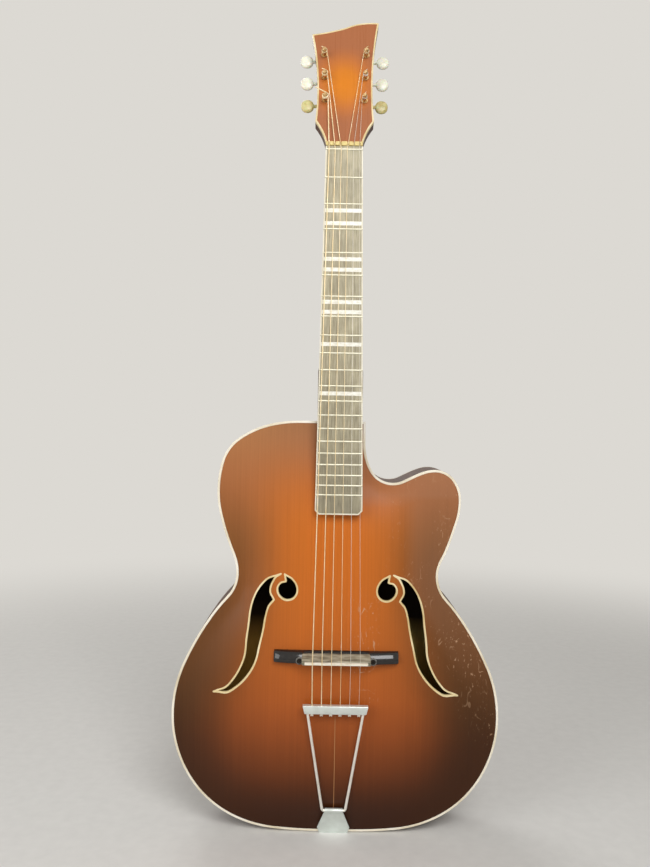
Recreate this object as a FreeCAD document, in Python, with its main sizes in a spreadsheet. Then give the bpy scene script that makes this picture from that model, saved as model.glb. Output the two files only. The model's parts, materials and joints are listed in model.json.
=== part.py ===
# Archtop guitar with one cutaway, a trapeze tailpiece and two tuner strips of three.
# Millimetres. +Z runs up the neck, +X is to the right seen from the front, and -Y is the front.
# The origin lies under the foot of the tailpiece hinge plate, at the middle of the rim's depth.
import FreeCAD, Part
import math
import os
import Sketcher
from FreeCAD import Placement, Rotation, Vector

# Driving sizes: alias, value, meaning. Heights on the body are measured up from its tail end.
SIZES = [
    # Body outline, seen from the front
    ("body_length", 523, "tail end to neck joint"),
    ("tail_flat_width", 44, "straight stretch at the tail end"),
    ("lower_bout_width", 416, "widest part"),
    ("waist_width", 256, "narrowest part"),
    ("upper_bout_reach", 153.5, "centre line to the bass side's upper bout"),
    ("shoulder_flat_reach", 50, "centre line to where the bass shoulder runs straight"),
    ("horn_reach", 155.5, "centre line to the horn's side"),
    ("horn_tip_reach", 122.4, "centre line to the top of the horn"),
    ("horn_tip_rise", 38.2, "top of the horn above its widest part"),
    ("cutaway_reach", 68.5, "centre line to the bottom of the cutaway"),
    ("cutaway_drop", 77.2, "neck joint down to the bottom of the cutaway"),
    ("cutaway_side_reach", 33, "centre line to the cutaway's straight side"),
    ("cutaway_straight_length", 28, "straight part of the cutaway's side, down from the neck joint"),
    # Body construction
    ("rim_depth", 75, "edge of the top to edge of the back"),
    ("rib_thickness", 3, "bent sides"),
    ("binding_width", 3, "edge binding seen from the front"),
    ("binding_depth", 6, "edge binding seen from the side"),
    ("plate_thickness", 4, "carved top and back"),
    ("top_arch_height", 17, "crown of the top above its edge"),
    ("back_arch_height", 14, "crown of the back above its edge"),
    ("arch_ledge", 8, "flat ledge inside the binding"),
    ("arch_grid_step", 9, "spacing of the points that shape the arch"),
    ("lining_width", 9, "strips glued inside the ribs"),
    ("lining_height", 14, "strips glued inside the ribs"),
    ("lining_glue_line", 0.2, "strips to the top and the back"),
    ("neck_block_width", 80, "block inside the neck joint"),
    ("neck_block_depth", 45, "block inside the neck joint, down the body"),
    ("tail_block_width", 64, "block inside the tail end"),
    ("tail_block_depth", 25, "block inside the tail end, up the body"),
    ("tone_bar_width", 7, "braces under the top"),
    ("tone_bar_height", 11, "braces under the top"),
    ("tone_bar_length", 270, "braces under the top"),
    ("tone_bar_spacing", 70, "middle of one brace to the other's"),
    ("tone_bar_rise", 29.5, "bridge to the middle of the braces"),
    ("tone_bar_angle", 2, "lean of each brace, degrees"),
    # F-holes
    ("f_hole_length", 151.2, "lower tip to top"),
    ("f_hole_tip_reach", 153.8, "centre line to the lower tip"),
    ("f_hole_tip_drop", 45.9, "bridge down to the lower tip"),
    ("f_hole_binding_width", 2.2, "strip round each hole"),
    # Neck and fretboard
    ("neck_angle", 2, "neck's lean back from the body, degrees"),
    ("neck_rise", 19.4, "fretboard surface above the rim's edge at the body"),
    ("scale_length", 630, "vibrating length"),
    ("nut_end_width", 46.8, "fretboard at the zero fret"),
    ("fretboard_end_width", 59.3, "fretboard at its end"),
    ("fretboard_end_chamfer", 5, "cut corners at the board's end"),
    ("fretboard_thickness", 6.5, "board"),
    ("fretboard_binding_width", 1.8, "strip along each side and the end"),
    ("zero_fret_to_nut", 4.5, "zero fret to the near side of the nut"),
    ("nut_thickness", 5, "nut along the neck"),
    ("nut_rise", 1.9, "top of the nut above the board"),
    ("nut_overhang", 0.3, "nut short of the board's side"),
    ("fret_width", 2.2, "crown across"),
    ("fret_height", 1, "crown above the board"),
    ("fret_end_inset", 0.4, "fret end short of the board's side"),
    ("marker_bar_width", 5, "inlay along the neck"),
    ("marker_bar_depth", 0.8, "inlay into the board"),
    ("neck_depth_at_nut", 15.5, "wood behind the fretboard"),
    ("neck_depth_at_heel", 18, "wood behind the fretboard"),
    ("neck_side_depth", 4, "straight part of the neck's side"),
    ("neck_overrun", 12, "round shaft run on into the headstock"),
    ("heel_length", 88, "heel along the neck, under the fretboard"),
    ("heel_middle_length", 40, "heel along the neck, part way back"),
    ("heel_middle_depth", 30, "fretboard underside to that part"),
    ("heel_middle_width", 46, "heel across at that part"),
    ("heel_foot_length", 24, "heel along the neck, at the back"),
    ("heel_foot_width", 34, "heel across at the back"),
    ("heel_cap_thickness", 3, "cap on the heel's foot"),
    ("tenon_width", 30, "tongue of the neck joint"),
    ("tenon_length", 18, "tongue of the neck joint into the block"),
    ("tenon_inset", 14, "tongue's ends inside the rim's edges"),
    ("joint_clearance", 0.2, "room round the tenon"),
    ("tongue_width", 42, "support under the fretboard's end"),
    ("tongue_length", 88, "support down the body"),
    ("tongue_clearance", 1.5, "support above the top"),
    # Headstock, measured up from the nut along its face
    ("head_angle", 13, "headstock's lean back from the neck, degrees"),
    ("head_drop", 3.5, "face below the fretboard surface at the nut"),
    ("head_length", 179, "nut to the treble corner"),
    ("head_bass_length", 160.2, "nut to the bass corner"),
    ("head_top_width", 86.8, "across the top corners"),
    ("head_middle_width", 70.4, "narrowest part above the lower corners"),
    ("head_middle_height", 78, "height of that part"),
    ("head_corner_width", 74, "across the lower corners"),
    ("head_corner_height", 31, "height of the lower corners"),
    ("head_core_thickness", 14, "wood behind the veneer"),
    ("head_veneer_thickness", 2, "face veneer"),
    ("head_binding_width", 2, "edge strip seen from the front"),
    ("head_binding_depth", 5, "edge strip seen from the side"),
    # Bridge
    ("saddle_compensation", 8, "saddle beyond the scale length"),
    ("saddle_rise", 8, "saddle top above the fretboard surface, produced"),
    ("bridge_length", 156, "across the wings"),
    ("bridge_middle_length", 86, "tall middle part"),
    ("bridge_foot_thickness", 15, "base along the strings"),
    ("bridge_foot_shift", 4, "middle of the base nearer to the neck than the saddle"),
    ("bridge_crown_thickness", 5.4, "top of the base along the strings"),
    ("bridge_wing_drop", 9, "wing below the saddle top, beside the middle"),
    ("bridge_tip_drop", 14.5, "wing below the saddle top, at its end"),
    ("saddle_length", 78, "white strip across"),
    ("saddle_thickness", 3.2, "white strip along the strings"),
    ("saddle_reveal", 2, "strip above the base"),
    ("saddle_seat_depth", 2, "strip in its slot"),
    # Tailpiece
    ("hinge_plate_thickness", 1.2, "sheet metal"),
    ("hinge_plate_width", 41, "widest part of the leg"),
    ("hinge_plate_flare_height", 9, "foot up to the widest part"),
    ("hinge_plate_foot_width", 36, "foot under the tail end"),
    ("hinge_plate_top_width", 22, "leg below the barrel"),
    ("hinge_foot_length", 52, "foot along the rim's depth"),
    ("hinge_plate_stand_off", 0.1, "leg in front of the binding"),
    ("hinge_height", 33, "barrel axis above the tail end"),
    ("hinge_rise", 12, "barrel axis in front of the rim's edge"),
    ("hinge_barrel_wall", 1.2, "rolled sheet"),
    ("hinge_barrel_length", 22.4, "barrel across"),
    ("yoke_wire_diameter", 3.5, "bent rod"),
    ("yoke_bend_radius", 3, "bend at each lower corner"),
    ("yoke_foot_width", 29, "rod spacing at the hinge"),
    ("yoke_ball_clearance", 1.2, "rod to the outer strings' ball ends"),
    ("yoke_seat_depth", 8, "rod in the crossbar"),
    ("string_tail_length", 58.6, "bridge down to the middle of the crossbar"),
    ("crossbar_rise", 29, "middle of the crossbar in front of the rim's edge"),
    ("crossbar_width", 82, "upper edge"),
    ("crossbar_foot_width", 76, "lower edge"),
    ("crossbar_face_height", 13, "along the strings"),
    ("crossbar_thickness", 6.5, "front to back"),
    ("hinge_screw_spacing", 20, "screws across the foot"),
    ("hinge_screw_row_spacing", 22, "screw rows along the foot"),
    ("hinge_screw_length", 14, "plate to screw tip"),
    ("hinge_screw_head_diameter", 5.6, "countersunk head"),
    ("screw_shank_diameter", 2.4, "wood screws"),
    # Strings
    ("string_1_diameter", 0.35, "thinnest, treble side"),
    ("string_2_diameter", 0.45, "plain"),
    ("string_3_diameter", 0.65, "wound"),
    ("string_4_diameter", 0.85, "wound"),
    ("string_5_diameter", 1.1, "wound"),
    ("string_6_diameter", 1.35, "thickest, bass side"),
    ("nut_string_spread", 38, "outer strings at the zero fret"),
    ("saddle_string_spread", 58.5, "outer strings at the saddle"),
    ("tail_string_spread", 58, "outer strings at the crossbar"),
    ("string_bend_radius", 5, "bend over the saddle and the zero fret"),
    ("string_seat_clearance", 0.02, "string above what it rests on"),
    ("string_hole_clearance", 0.35, "room round a string in a hole or slot"),
    ("ball_end_diameter", 4, "string's end below the crossbar"),
    ("winding_start", 6.5, "first turn above the headstock face"),
    ("winding_gap", 0.5, "between turns"),
    ("winding_clearance", 0.15, "post to turns"),
    ("winding_tail", 5, "string left past its last turn"),
    ("low_string_tail", 21, "longer end left on the thickest string"),
    # Tuners
    ("post_diameter", 5.4, "string posts"),
    ("post_rise", 12.6, "post above the headstock face"),
    ("post_tip_chamfer", 1, "post's end"),
    ("post_row_reach", 26, "centre line to the middle post"),
    ("post_row_height", 95.3, "nut to the middle post"),
    ("post_pitch", 33.8, "post to post"),
    ("post_row_angle", 1.7, "row's lean outwards, degrees"),
    ("running_clearance", 0.06, "shaft to bearing, on the radius"),
    ("bushing_diameter", 7.2, "sleeve in the headstock"),
    ("bushing_depth", 9, "sleeve into the headstock"),
    ("bushing_flange_diameter", 8.6, "ring on the face"),
    ("bushing_flange_height", 1.2, "ring on the face"),
    ("tuner_plate_thickness", 1.2, "base plate"),
    ("tuner_plate_width", 16, "base plate across"),
    ("tuner_plate_end_margin", 15, "base plate past the outer posts"),
    ("gear_pitch_diameter", 9.2, "worm gear"),
    ("gear_thickness", 2.4, "worm gear"),
    ("gear_addendum", 0.45, "tooth above the pitch circle"),
    ("gear_dedendum", 0.65, "tooth below the pitch circle"),
    ("gear_seat_diameter", 4, "post's end in the gear"),
    ("worm_pitch_diameter", 4.8, "worm thread"),
    ("worm_length", 6.4, "threaded part"),
    ("worm_rise", 4.4, "worm axis above the base plate"),
    ("worm_end_play", 0.3, "thread to each lug"),
    ("shaft_diameter", 3, "worm shaft in its lugs"),
    ("shaft_overhang", 1.2, "shaft past the inner lug"),
    ("lug_thickness", 1.5, "bearing lugs of the base plate"),
    ("lug_wall", 1.6, "lug round the shaft"),
    ("button_reach", 23, "post to the middle of the button"),
    ("button_length", 16.2, "button along its shaft"),
    ("button_width", 18.6, "button across"),
    ("button_thickness", 7.6, "button through"),
    ("button_collar_diameter", 6, "neck of the button"),
    ("button_collar_length", 5, "neck of the button, past its body"),
    ("button_bore_depth", 9, "shaft in the button"),
    ("tuner_screw_head_diameter", 4.2, "round head"),
    ("tuner_screw_head_height", 1.3, "round head"),
    ("tuner_screw_length", 9, "plate to screw tip"),
    ("cut_overrun", 2, "how far a cutting tool passes a face"),
]

# Counts
STRINGS = (1, 2, 3, 4, 5, 6)
LAST_FRET = 20
GEAR_TEETH = 14
ARCH_SWEEPS = 220
BASS_TURNS = 2
TREBLE_TURNS = 3

# Shares, chosen by hand
# Heights up the body as shares of its length
lower_bout_height_share = 0.281
waist_height_share = 0.627
upper_bout_height_share = 0.828
horn_height_share = 0.8126
# Neck joint and fretboard end below the zero fret, as shares of the scale length
neck_joint_share = 0.539683
fretboard_share = 0.7238
# Each outline stretch: where its middle point lies between its ends, and which way it runs there
tail_stretch_shares = ((0.588, 0.127), (0.138, 0.0884))
lower_stretch_shares = ((0.594, 0.696), (0.304, 0.193))
bass_upper_stretch_shares = ((0.53, 0.448), (0.53, 0.376))
treble_upper_stretch_shares = ((0.5, 0.41), (0.48, 0.39))
shoulder_stretch_shares = ((0.251, 0.743), (0.2, 0.167))
cutaway_stretch_shares = ((0.5, 0.443), (0.403, 0.615))
arch_fullness_share = 0.5
arch_relaxation_share = 1.88
# F-hole points from the lower tip: inwards and up, as shares of the f-hole's length
slot_outer_shares = ((0, 0), (0.125, 0.067), (0.245, 0.272), (0.276, 0.501), (0.317, 0.772), (0.421, 0.941),
                     (0.549, 1))
slot_inner_shares = ((0, 0), (0.141, 0.014), (0.32, 0.204), (0.396, 0.471), (0.445, 0.713), (0.495, 0.784))
slot_beak_shares = ((0.495, 0.784), (0.462, 0.859), (0.499, 0.961), (0.549, 1))
comma_shares = ((0.581, 0.998), (0.652, 0.954), (0.688, 0.882), (0.667, 0.811), (0.605, 0.784), (0.546, 0.811),
                (0.521, 0.872), (0.545, 0.923), (0.592, 0.94))
# Headstock: points between the corners, as shares of half its top width and of its length
head_flare_share = 0.5
head_flare_reach_share = 0.36
head_crest_middle_shares = (0.012, 0.957)
head_crest_bass_shares = (-0.45, 0.923)
head_crest_treble_shares = (0.48, 0.996)
# Marker bars: the fret below each bar and where it lies on the way to the next one
marker_place_shares = ((2, 0.26), (2, 0.77), (4, 0.28), (4, 0.75), (6, 0.28), (6, 0.78), (8, 0.5), (11, 0.5))
tooth_share = 0.36
thread_share = 0.3
last_turn_share = 0.15
flank_angle = 20

doc = FreeCAD.newDocument("archtop_guitar")
sheet = doc.addObject("Spreadsheet::Sheet", "Sizes")
for row, (alias, value, meaning) in enumerate(SIZES, start=1):
    sheet.set(f"A{row}", meaning)
    sheet.set(f"B{row}", str(value))
    sheet.setAlias(f"B{row}", alias)
doc.recompute()

X_AXIS = Vector(1, 0, 0)
Y_AXIS = Vector(0, 1, 0)
Z_AXIS = Vector(0, 0, 1)
nodes = []


def size(alias):
    """A driving size, read from the sheet."""
    return float(sheet.get(alias))


def measure(expression):
    """The value of an expression on the sheet's cells."""
    return float(sheet.evalExpression(expression))


def node(label, thing, place=None):
    """Give a finished sub-part its label and place, and list it for writing."""
    thing.Label = label
    if place is not None:
        thing.Placement = place
    nodes.append(thing)
    return thing


def shaped(label, shape, place=None):
    """A sub-part whose shape is worked out here."""
    thing = doc.addObject("Part::Feature", label)
    thing.Shape = shape
    return node(label, thing, (place or Placement()).multiply(shape.Placement))


def bound(kind, name, place=None, **expressions):
    """A primitive whose sizes follow the sheet."""
    thing = doc.addObject(kind, name)
    if place is not None:
        thing.Placement = place
    for prop, expression in expressions.items():
        thing.setExpression(prop.replace("__", "."), expression)
    return thing


def box(name, length, width, height, corner=("0", "0", "0")):
    """A block: its three sizes and its low corner, all as expressions."""
    return bound("Part::Box", name, Length=length, Width=width, Height=height, Placement__Base__x=corner[0],
                 Placement__Base__y=corner[1], Placement__Base__z=corner[2])


def less(name, base, tool):
    """One piece with another cut out of it."""
    thing = doc.addObject("Part::Cut", name)
    thing.Base = base
    thing.Tool = tool
    return thing


def joined(name, pieces):
    """Several pieces made one."""
    thing = doc.addObject("Part::MultiFuse", name)
    thing.Shapes = pieces
    return thing


def gathered(name, pieces):
    """Several pieces kept apart, under one name."""
    thing = doc.addObject("Part::Compound", name)
    thing.Links = pieces
    return thing


def placed(shape, place):
    """A copy of a shape, carried from a frame to the guitar's own."""
    copy = shape.copy()
    copy.Placement = place.multiply(copy.Placement)
    return copy


def tangent_arc(start, start_dir, end):
    """The arc that leaves start along start_dir and reaches end, or the straight line if it is one."""
    chord = end - start
    along = Vector(chord).normalize()
    side = start_dir - along * start_dir.dot(along)
    if side.Length < 1e-6:
        return Part.LineSegment(start, end).toShape()
    half_turn = math.acos(max(-1, min(1, start_dir.dot(along))))
    sagitta = chord.Length / 2 * math.tan(half_turn / 2)
    middle = (start + end) / 2 + side.normalize() * sagitta
    return Part.Arc(start, middle, end).toShape()


def biarc(start, start_dir, end, end_dir):
    """Two arcs from start to end that run along the given directions there."""
    chord = end - start
    spread = 1 - start_dir.dot(end_dir)
    along = chord.dot(start_dir + end_dir)
    if spread < 1e-9:
        reach = chord.dot(chord) / (2 * along)
    else:
        reach = (math.sqrt(along**2 + 2 * spread * chord.dot(chord)) - along) / (2 * spread)
    joint = (start + end + (start_dir - end_dir) * reach) / 2
    first = tangent_arc(start, start_dir, joint)
    second = tangent_arc(end, end_dir * -1, joint)
    return [first, second]


def smooth_run(points):
    """Arcs through a row of points, with a smooth turn at each inner one."""
    directions = []
    last = len(points) - 1
    for index in range(last + 1):
        step = points[min(index + 1, last)] - points[max(index - 1, 0)]
        directions.append(step.normalize())
    edges = []
    for index in range(last):
        edges += biarc(points[index], directions[index], points[index + 1], directions[index + 1])
    return edges


def rounded_run(points, radius):
    """Straight runs through points, with an arc of the given radius at each inner one."""
    edges = []
    start = points[0]
    for before, corner, after in zip(points, points[1:], points[2:]):
        arriving = (corner - before).normalize()
        leaving = (after - corner).normalize()
        turn = arriving.getAngle(leaving)
        trim = radius * math.tan(turn / 2)
        arc_start = corner - arriving * trim
        arc_end = corner + leaving * trim
        edges.append(Part.LineSegment(start, arc_start).toShape())
        edges.append(tangent_arc(arc_start, arriving, arc_end))
        start = arc_end
    edges.append(Part.LineSegment(start, points[-1]).toShape())
    return edges


def tube(edges, diameter):
    """A round rod along a path of straight runs and arcs."""
    path = Part.Wire(edges)
    start = edges[0].valueAt(edges[0].FirstParameter)
    along = edges[0].tangentAt(edges[0].FirstParameter)
    ring = Part.Wire(Part.makeCircle(diameter / 2, start, along))
    rod = path.makePipeShell([ring], True, False)
    expected = math.pi * diameter**2 / 4 * path.Length
    if abs(rod.Volume / expected - 1) > 0.01:
        raise ValueError(f"a rod of {path.Length:.1f} mm has {rod.Volume:.2f} mm3, not {expected:.2f}")
    return rod


def prism(wire, near, far):
    """The solid behind a flat outline, from one depth to another."""
    face = Part.Face(wire)
    face.translate(Y_AXIS * near)
    return face.extrude(Y_AXIS * (far - near))


def inset(wire, distance):
    """An outline drawn in by a distance, or let out if it is below zero."""
    return Part.Face(wire).makeOffset2D(-distance).OuterWire


def closed(edges):
    """One closed outline from edges in any order."""
    return Part.Wire(Part.sortEdges(edges)[0])


# Places that several pieces share
body_down = neck_joint_share * size("scale_length")
fretboard_length = fretboard_share * size("scale_length")
saddle_down = size("scale_length") + size("saddle_compensation")
tail_z = size("hinge_plate_thickness")
joint_z = tail_z + size("body_length")
front_y = -size("rim_depth") / 2
back_y = size("rim_depth") / 2
overrun = size("cut_overrun")
nut_back = size("zero_fret_to_nut") + size("nut_thickness")
head_thickness = size("head_veneer_thickness") + size("head_core_thickness")

# The neck's frame: zero at the zero fret on the fretboard surface, Z up the neck, Y into the wood
neck_turn = Rotation(X_AXIS, -size("neck_angle"))
neck_joint = Vector(0, front_y - size("neck_rise"), joint_z)
neck_frame = Placement(neck_joint + neck_turn.multVec(Z_AXIS * body_down), neck_turn)
# Blocks and wedges along the neck are drawn lying down: Y up the neck, Z out of the fretboard
board_frame = neck_frame.multiply(Placement(Vector(), Rotation(X_AXIS, 90)))
# The headstock's frame: zero on its face behind the nut, Z up the face, Y into the wood
head_origin = Vector(0, size("head_drop"), nut_back)
head_frame = neck_frame.multiply(Placement(head_origin, Rotation(X_AXIS, -size("head_angle"))))
# The tailpiece's frame: zero in the middle of the barrel, Z up to the crossbar
saddle_top = neck_frame.multVec(Vector(0, -size("saddle_rise"), -saddle_down))
crossbar_middle = Vector(0, front_y - size("crossbar_rise"), saddle_top.z - size("string_tail_length"))
hinge_axis = Vector(0, front_y - size("hinge_rise"), tail_z + size("hinge_height"))
tail_run = crossbar_middle - hinge_axis
tail_frame = Placement(hinge_axis, Rotation(Z_AXIS, tail_run))


def body_outline():
    """The body's outline: arcs that turn smoothly, with straight stretches at the tail and the neck."""
    def at(reach, height):
        return Vector(reach, 0, tail_z + height)

    def stretch(start, start_dir, shares, end, end_dir):
        span = end - start
        (across, up), (slope_across, slope_up) = shares
        middle = start + Vector(span.x * across, 0, span.z * up)
        way = Vector(span.x * slope_across, 0, span.z * slope_up).normalize()
        return biarc(start, start_dir, middle, way) + biarc(middle, way, end, end_dir)

    length = size("body_length")
    edges = []
    waist = {}
    for side in (-1, 1):
        outwards = X_AXIS * side
        tail = at(side * size("tail_flat_width") / 2, 0)
        lower = at(side * size("lower_bout_width") / 2, lower_bout_height_share * length)
        waist[side] = at(side * size("waist_width") / 2, waist_height_share * length)
        edges += stretch(tail, outwards, tail_stretch_shares, lower, Z_AXIS)
        edges += stretch(lower, Z_AXIS, lower_stretch_shares, waist[side], Z_AXIS)
    tail_half = size("tail_flat_width") / 2
    edges.append(Part.LineSegment(at(-tail_half, 0), at(tail_half, 0)).toShape())
    # Bass side: upper bout and shoulder
    upper = at(-size("upper_bout_reach"), upper_bout_height_share * length)
    shoulder = at(-size("shoulder_flat_reach"), length)
    edges += stretch(waist[-1], Z_AXIS, bass_upper_stretch_shares, upper, Z_AXIS)
    edges += stretch(upper, Z_AXIS, shoulder_stretch_shares, shoulder, X_AXIS)
    # Treble side: horn and cutaway
    inwards = X_AXIS * -1
    horn = at(size("horn_reach"), horn_height_share * length)
    horn_tip = at(size("horn_tip_reach"), horn_height_share * length + size("horn_tip_rise"))
    dip = at(size("cutaway_reach"), length - size("cutaway_drop"))
    dip_side = at(size("cutaway_side_reach"), length - size("cutaway_straight_length"))
    corner = at(size("cutaway_side_reach"), length)
    edges += stretch(waist[1], Z_AXIS, treble_upper_stretch_shares, horn, Z_AXIS)
    edges += biarc(horn, Z_AXIS, horn_tip, inwards)
    edges += stretch(horn_tip, inwards, cutaway_stretch_shares, dip, inwards)
    edges += biarc(dip, inwards, dip_side, Z_AXIS)
    edges.append(Part.LineSegment(dip_side, corner).toShape())
    edges.append(Part.LineSegment(corner, shoulder).toShape())
    return closed(edges)


outline = body_outline()
rib_inside = inset(outline, size("rib_thickness"))
plate_outline = inset(outline, size("binding_width"))
lining_inside = inset(outline, size("rib_thickness") + size("lining_width"))


def arch_grid():
    """Fullness of the arch from 0 to 1 on a grid: the shape of a membrane blown up inside the ledge."""
    edge = inset(outline, size("binding_width") + size("arch_ledge"))
    corners = edge.discretize(Distance=size("arch_grid_step") / 3)
    box_of = outline.BoundBox
    step = size("arch_grid_step")
    columns = math.ceil(box_of.XLength / step) + 3
    rows = math.ceil(box_of.ZLength / step) + 3
    across = [box_of.Center.x + step * (index - (columns - 1) / 2) for index in range(columns)]
    up = [box_of.Center.z + step * (index - (rows - 1) / 2) for index in range(rows)]
    inside = []
    for row, height in enumerate(up):
        crossings = []
        for low, high in zip(corners, corners[1:] + corners[:1]):
            if (low.z > height) != (high.z > height):
                crossings.append(low.x + (high.x - low.x) * (height - low.z) / (high.z - low.z))
        for column, reach in enumerate(across):
            if sum(crossing > reach for crossing in crossings) % 2:
                inside.append((row, column))
    lift = [[0.0] * columns for _ in range(rows)]
    for _ in range(ARCH_SWEEPS):
        for row, column in inside:
            around = lift[row - 1][column] + lift[row + 1][column]
            around += lift[row][column - 1] + lift[row][column + 1]
            lift[row][column] += arch_relaxation_share * ((around + 1) / 4 - lift[row][column])
    crown = max(max(line) for line in lift)
    return across, up, [[value / crown for value in line] for line in lift]


def arch_profile(fullness):
    """The carved profile: flat at the ledge, full over the middle."""
    full = fullness * (1 + arch_fullness_share * (1 - fullness))
    return full * full * (3 - 2 * full)


across, up, lift = arch_grid()


def arch_face(edge_y, height):
    """The carved surface of a plate. Its crown stands out from edge_y by height."""
    points = []
    for row, line in zip(up, lift):
        points.append([Vector(reach, edge_y + height * arch_profile(value), row)
                       for reach, value in zip(across, line)])
    surface = Part.BSplineSurface()
    surface.interpolate(points)
    return surface.toShape()


top_face = arch_face(front_y, -size("top_arch_height"))
back_face = arch_face(back_y, size("back_arch_height"))
top_sheet = top_face.extrude(Y_AXIS * size("plate_thickness"))
back_sheet = back_face.extrude(Y_AXIS * -size("plate_thickness"))
# The room that the top and the air behind it take up, for what has to seat on the top or stay off it
room_depth = size("top_arch_height") + size("plate_thickness")
top_room = top_face.extrude(Y_AXIS * room_depth)
crown_y = front_y - size("top_arch_height") - overrun


def f_hole(side):
    """The two outlines of one f-hole, along the middle of their binding strips."""
    length = size("f_hole_length")
    tip = Vector(side * size("f_hole_tip_reach"), 0, saddle_top.z - size("f_hole_tip_drop"))

    def points(shares):
        return [tip + Vector(-side * inwards, 0, up_share) * length for inwards, up_share in shares]

    slot = smooth_run(points(slot_outer_shares)) + smooth_run(points(slot_inner_shares))
    slot += smooth_run(points(slot_beak_shares))
    comma = points(comma_shares)
    bite = Part.LineSegment(comma[-1], comma[0]).toShape()
    return [closed(slot), closed(smooth_run(comma) + [bite])]


holes = f_hole(-1) + f_hole(1)
half_strip = size("f_hole_binding_width") / 2
hole_cuts = [prism(inset(hole, -half_strip), crown_y, back_y) for hole in holes]
hole_openings = [prism(inset(hole, half_strip), crown_y, back_y) for hole in holes]

# Body
plate_prism = prism(plate_outline, crown_y, back_y + size("back_arch_height") + overrun)
shaped("top_plate", top_sheet.common(plate_prism).cut(Part.makeCompound(hole_cuts)))
shaped("back_plate", back_sheet.common(plate_prism))
strips = [top_sheet.common(outer.cut(inner)) for outer, inner in zip(hole_cuts, hole_openings)]
shaped("f_hole_bindings", Part.makeCompound([strip.Solids[0] for strip in strips]))


def ring(outer, inner, near, far):
    """A band between two outlines."""
    return prism(outer, near, far).cut(prism(inner, near - overrun, far + overrun))


binding_depth = size("binding_depth")
shaped("top_binding", ring(outline, plate_outline, front_y, front_y + binding_depth))
shaped("back_binding", ring(outline, plate_outline, back_y - binding_depth, back_y))

# The neck joint: a tenon on the neck in a mortise through the ribs into the block
tenon_low = Vector(-size("tenon_width") / 2, front_y + size("tenon_inset"), joint_z - size("tenon_length"))
tenon_depth = size("rim_depth") - 2 * size("tenon_inset")
tenon = Part.makeBox(size("tenon_width"), tenon_depth, size("tenon_length"), tenon_low)
room = size("joint_clearance")
mortise = Part.makeBox(size("tenon_width") + 2 * room, tenon_depth + 2 * room,
                       size("tenon_length") + room + overrun, tenon_low - Vector(room, room, room))

# Inside blocks, trimmed to the ribs
inner_y = front_y + size("plate_thickness")
inner_depth = size("rim_depth") - 2 * size("plate_thickness")
rib_room = prism(rib_inside, front_y, back_y)
neck_block_low = Vector(-size("neck_block_width") / 2, inner_y, joint_z - size("neck_block_depth"))
neck_block = Part.makeBox(size("neck_block_width"), inner_depth, size("neck_block_depth"), neck_block_low)
neck_block = neck_block.common(rib_room).cut(mortise)
tail_block_low = Vector(-size("tail_block_width") / 2, inner_y, tail_z)
tail_block = Part.makeBox(size("tail_block_width"), inner_depth, size("tail_block_depth"), tail_block_low)
tail_block = tail_block.common(rib_room)


def hinge_screws():
    """Countersunk screws through the hinge plate's foot into the tail block."""
    head = size("hinge_screw_head_diameter") / 2
    shank = size("screw_shank_diameter") / 2
    row_y = front_y + size("hinge_foot_length") / 2
    rows = size("hinge_screw_row_spacing") / 2
    half = size("hinge_screw_spacing") / 2
    screws = []
    for reach, depth in ((-half, -rows), (half, -rows), (-half, rows), (half, rows)):
        spot = Vector(reach, row_y + depth, 0)
        cone = Part.makeCone(head, shank, tail_z, spot)
        shaft = Part.makeCylinder(shank, size("hinge_screw_length"), spot)
        screws.append(cone.fuse(shaft).removeSplitter())
    return Part.makeCompound(screws)


hinge_screw_set = hinge_screws()
shaped("hinge_plate_screws", hinge_screw_set)
shaped("neck_block", neck_block)
shaped("tail_block", tail_block.cut(hinge_screw_set))
rim = ring(outline, rib_inside, front_y + binding_depth, back_y - binding_depth)
rim = rim.cut(mortise).cut(hinge_screw_set)
half_size = size("lower_bout_width")
for label, side in (("bass_rib", -1), ("treble_rib", 1)):
    half_low = Vector(min(0, side * half_size), front_y, -overrun)
    half_room = Part.makeBox(half_size, size("rim_depth"), size("body_length") + 2 * half_size, half_low)
    shaped(label, rim.common(half_room))

lining_height = size("lining_height")
glue_line = size("lining_glue_line")
lining_blocks = Part.makeCompound([
    Part.makeBox(size("neck_block_width"), inner_depth, size("neck_block_depth"), neck_block_low),
    Part.makeBox(size("tail_block_width"), inner_depth, size("tail_block_depth"), tail_block_low)])
linings = []
for near in (inner_y + glue_line, inner_y + inner_depth - glue_line - lining_height):
    linings += ring(rib_inside, lining_inside, near, near + lining_height).cut(lining_blocks).Solids
shaped("linings", Part.makeCompound(linings))


def tone_bars():
    """Two braces carved to the underside of the top."""
    under_face = top_face.copy()
    under_face.translate(Y_AXIS * size("plate_thickness"))
    under_room = under_face.extrude(Y_AXIS * size("tone_bar_height"))
    bars = []
    for side in (-1, 1):
        low = Vector(-size("tone_bar_width") / 2, crown_y, -size("tone_bar_length") / 2)
        bar = Part.makeBox(size("tone_bar_width"), back_y - crown_y, size("tone_bar_length"), low)
        middle = Vector(side * size("tone_bar_spacing") / 2, 0, saddle_top.z + size("tone_bar_rise"))
        turn = Rotation(Y_AXIS, side * -size("tone_bar_angle"))
        bars += under_room.common(placed(bar, Placement(middle, turn))).Solids
    return Part.makeCompound(bars)


shaped("tone_bars", tone_bars())


def board_half_width(down):
    """Half the fretboard's width at a distance down from the zero fret."""
    widening = (size("fretboard_end_width") - size("nut_end_width")) / fretboard_length
    return (size("nut_end_width") + widening * down) / 2


# Neck, drawn in its own frame
fretboard_thickness = size("fretboard_thickness")


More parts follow.
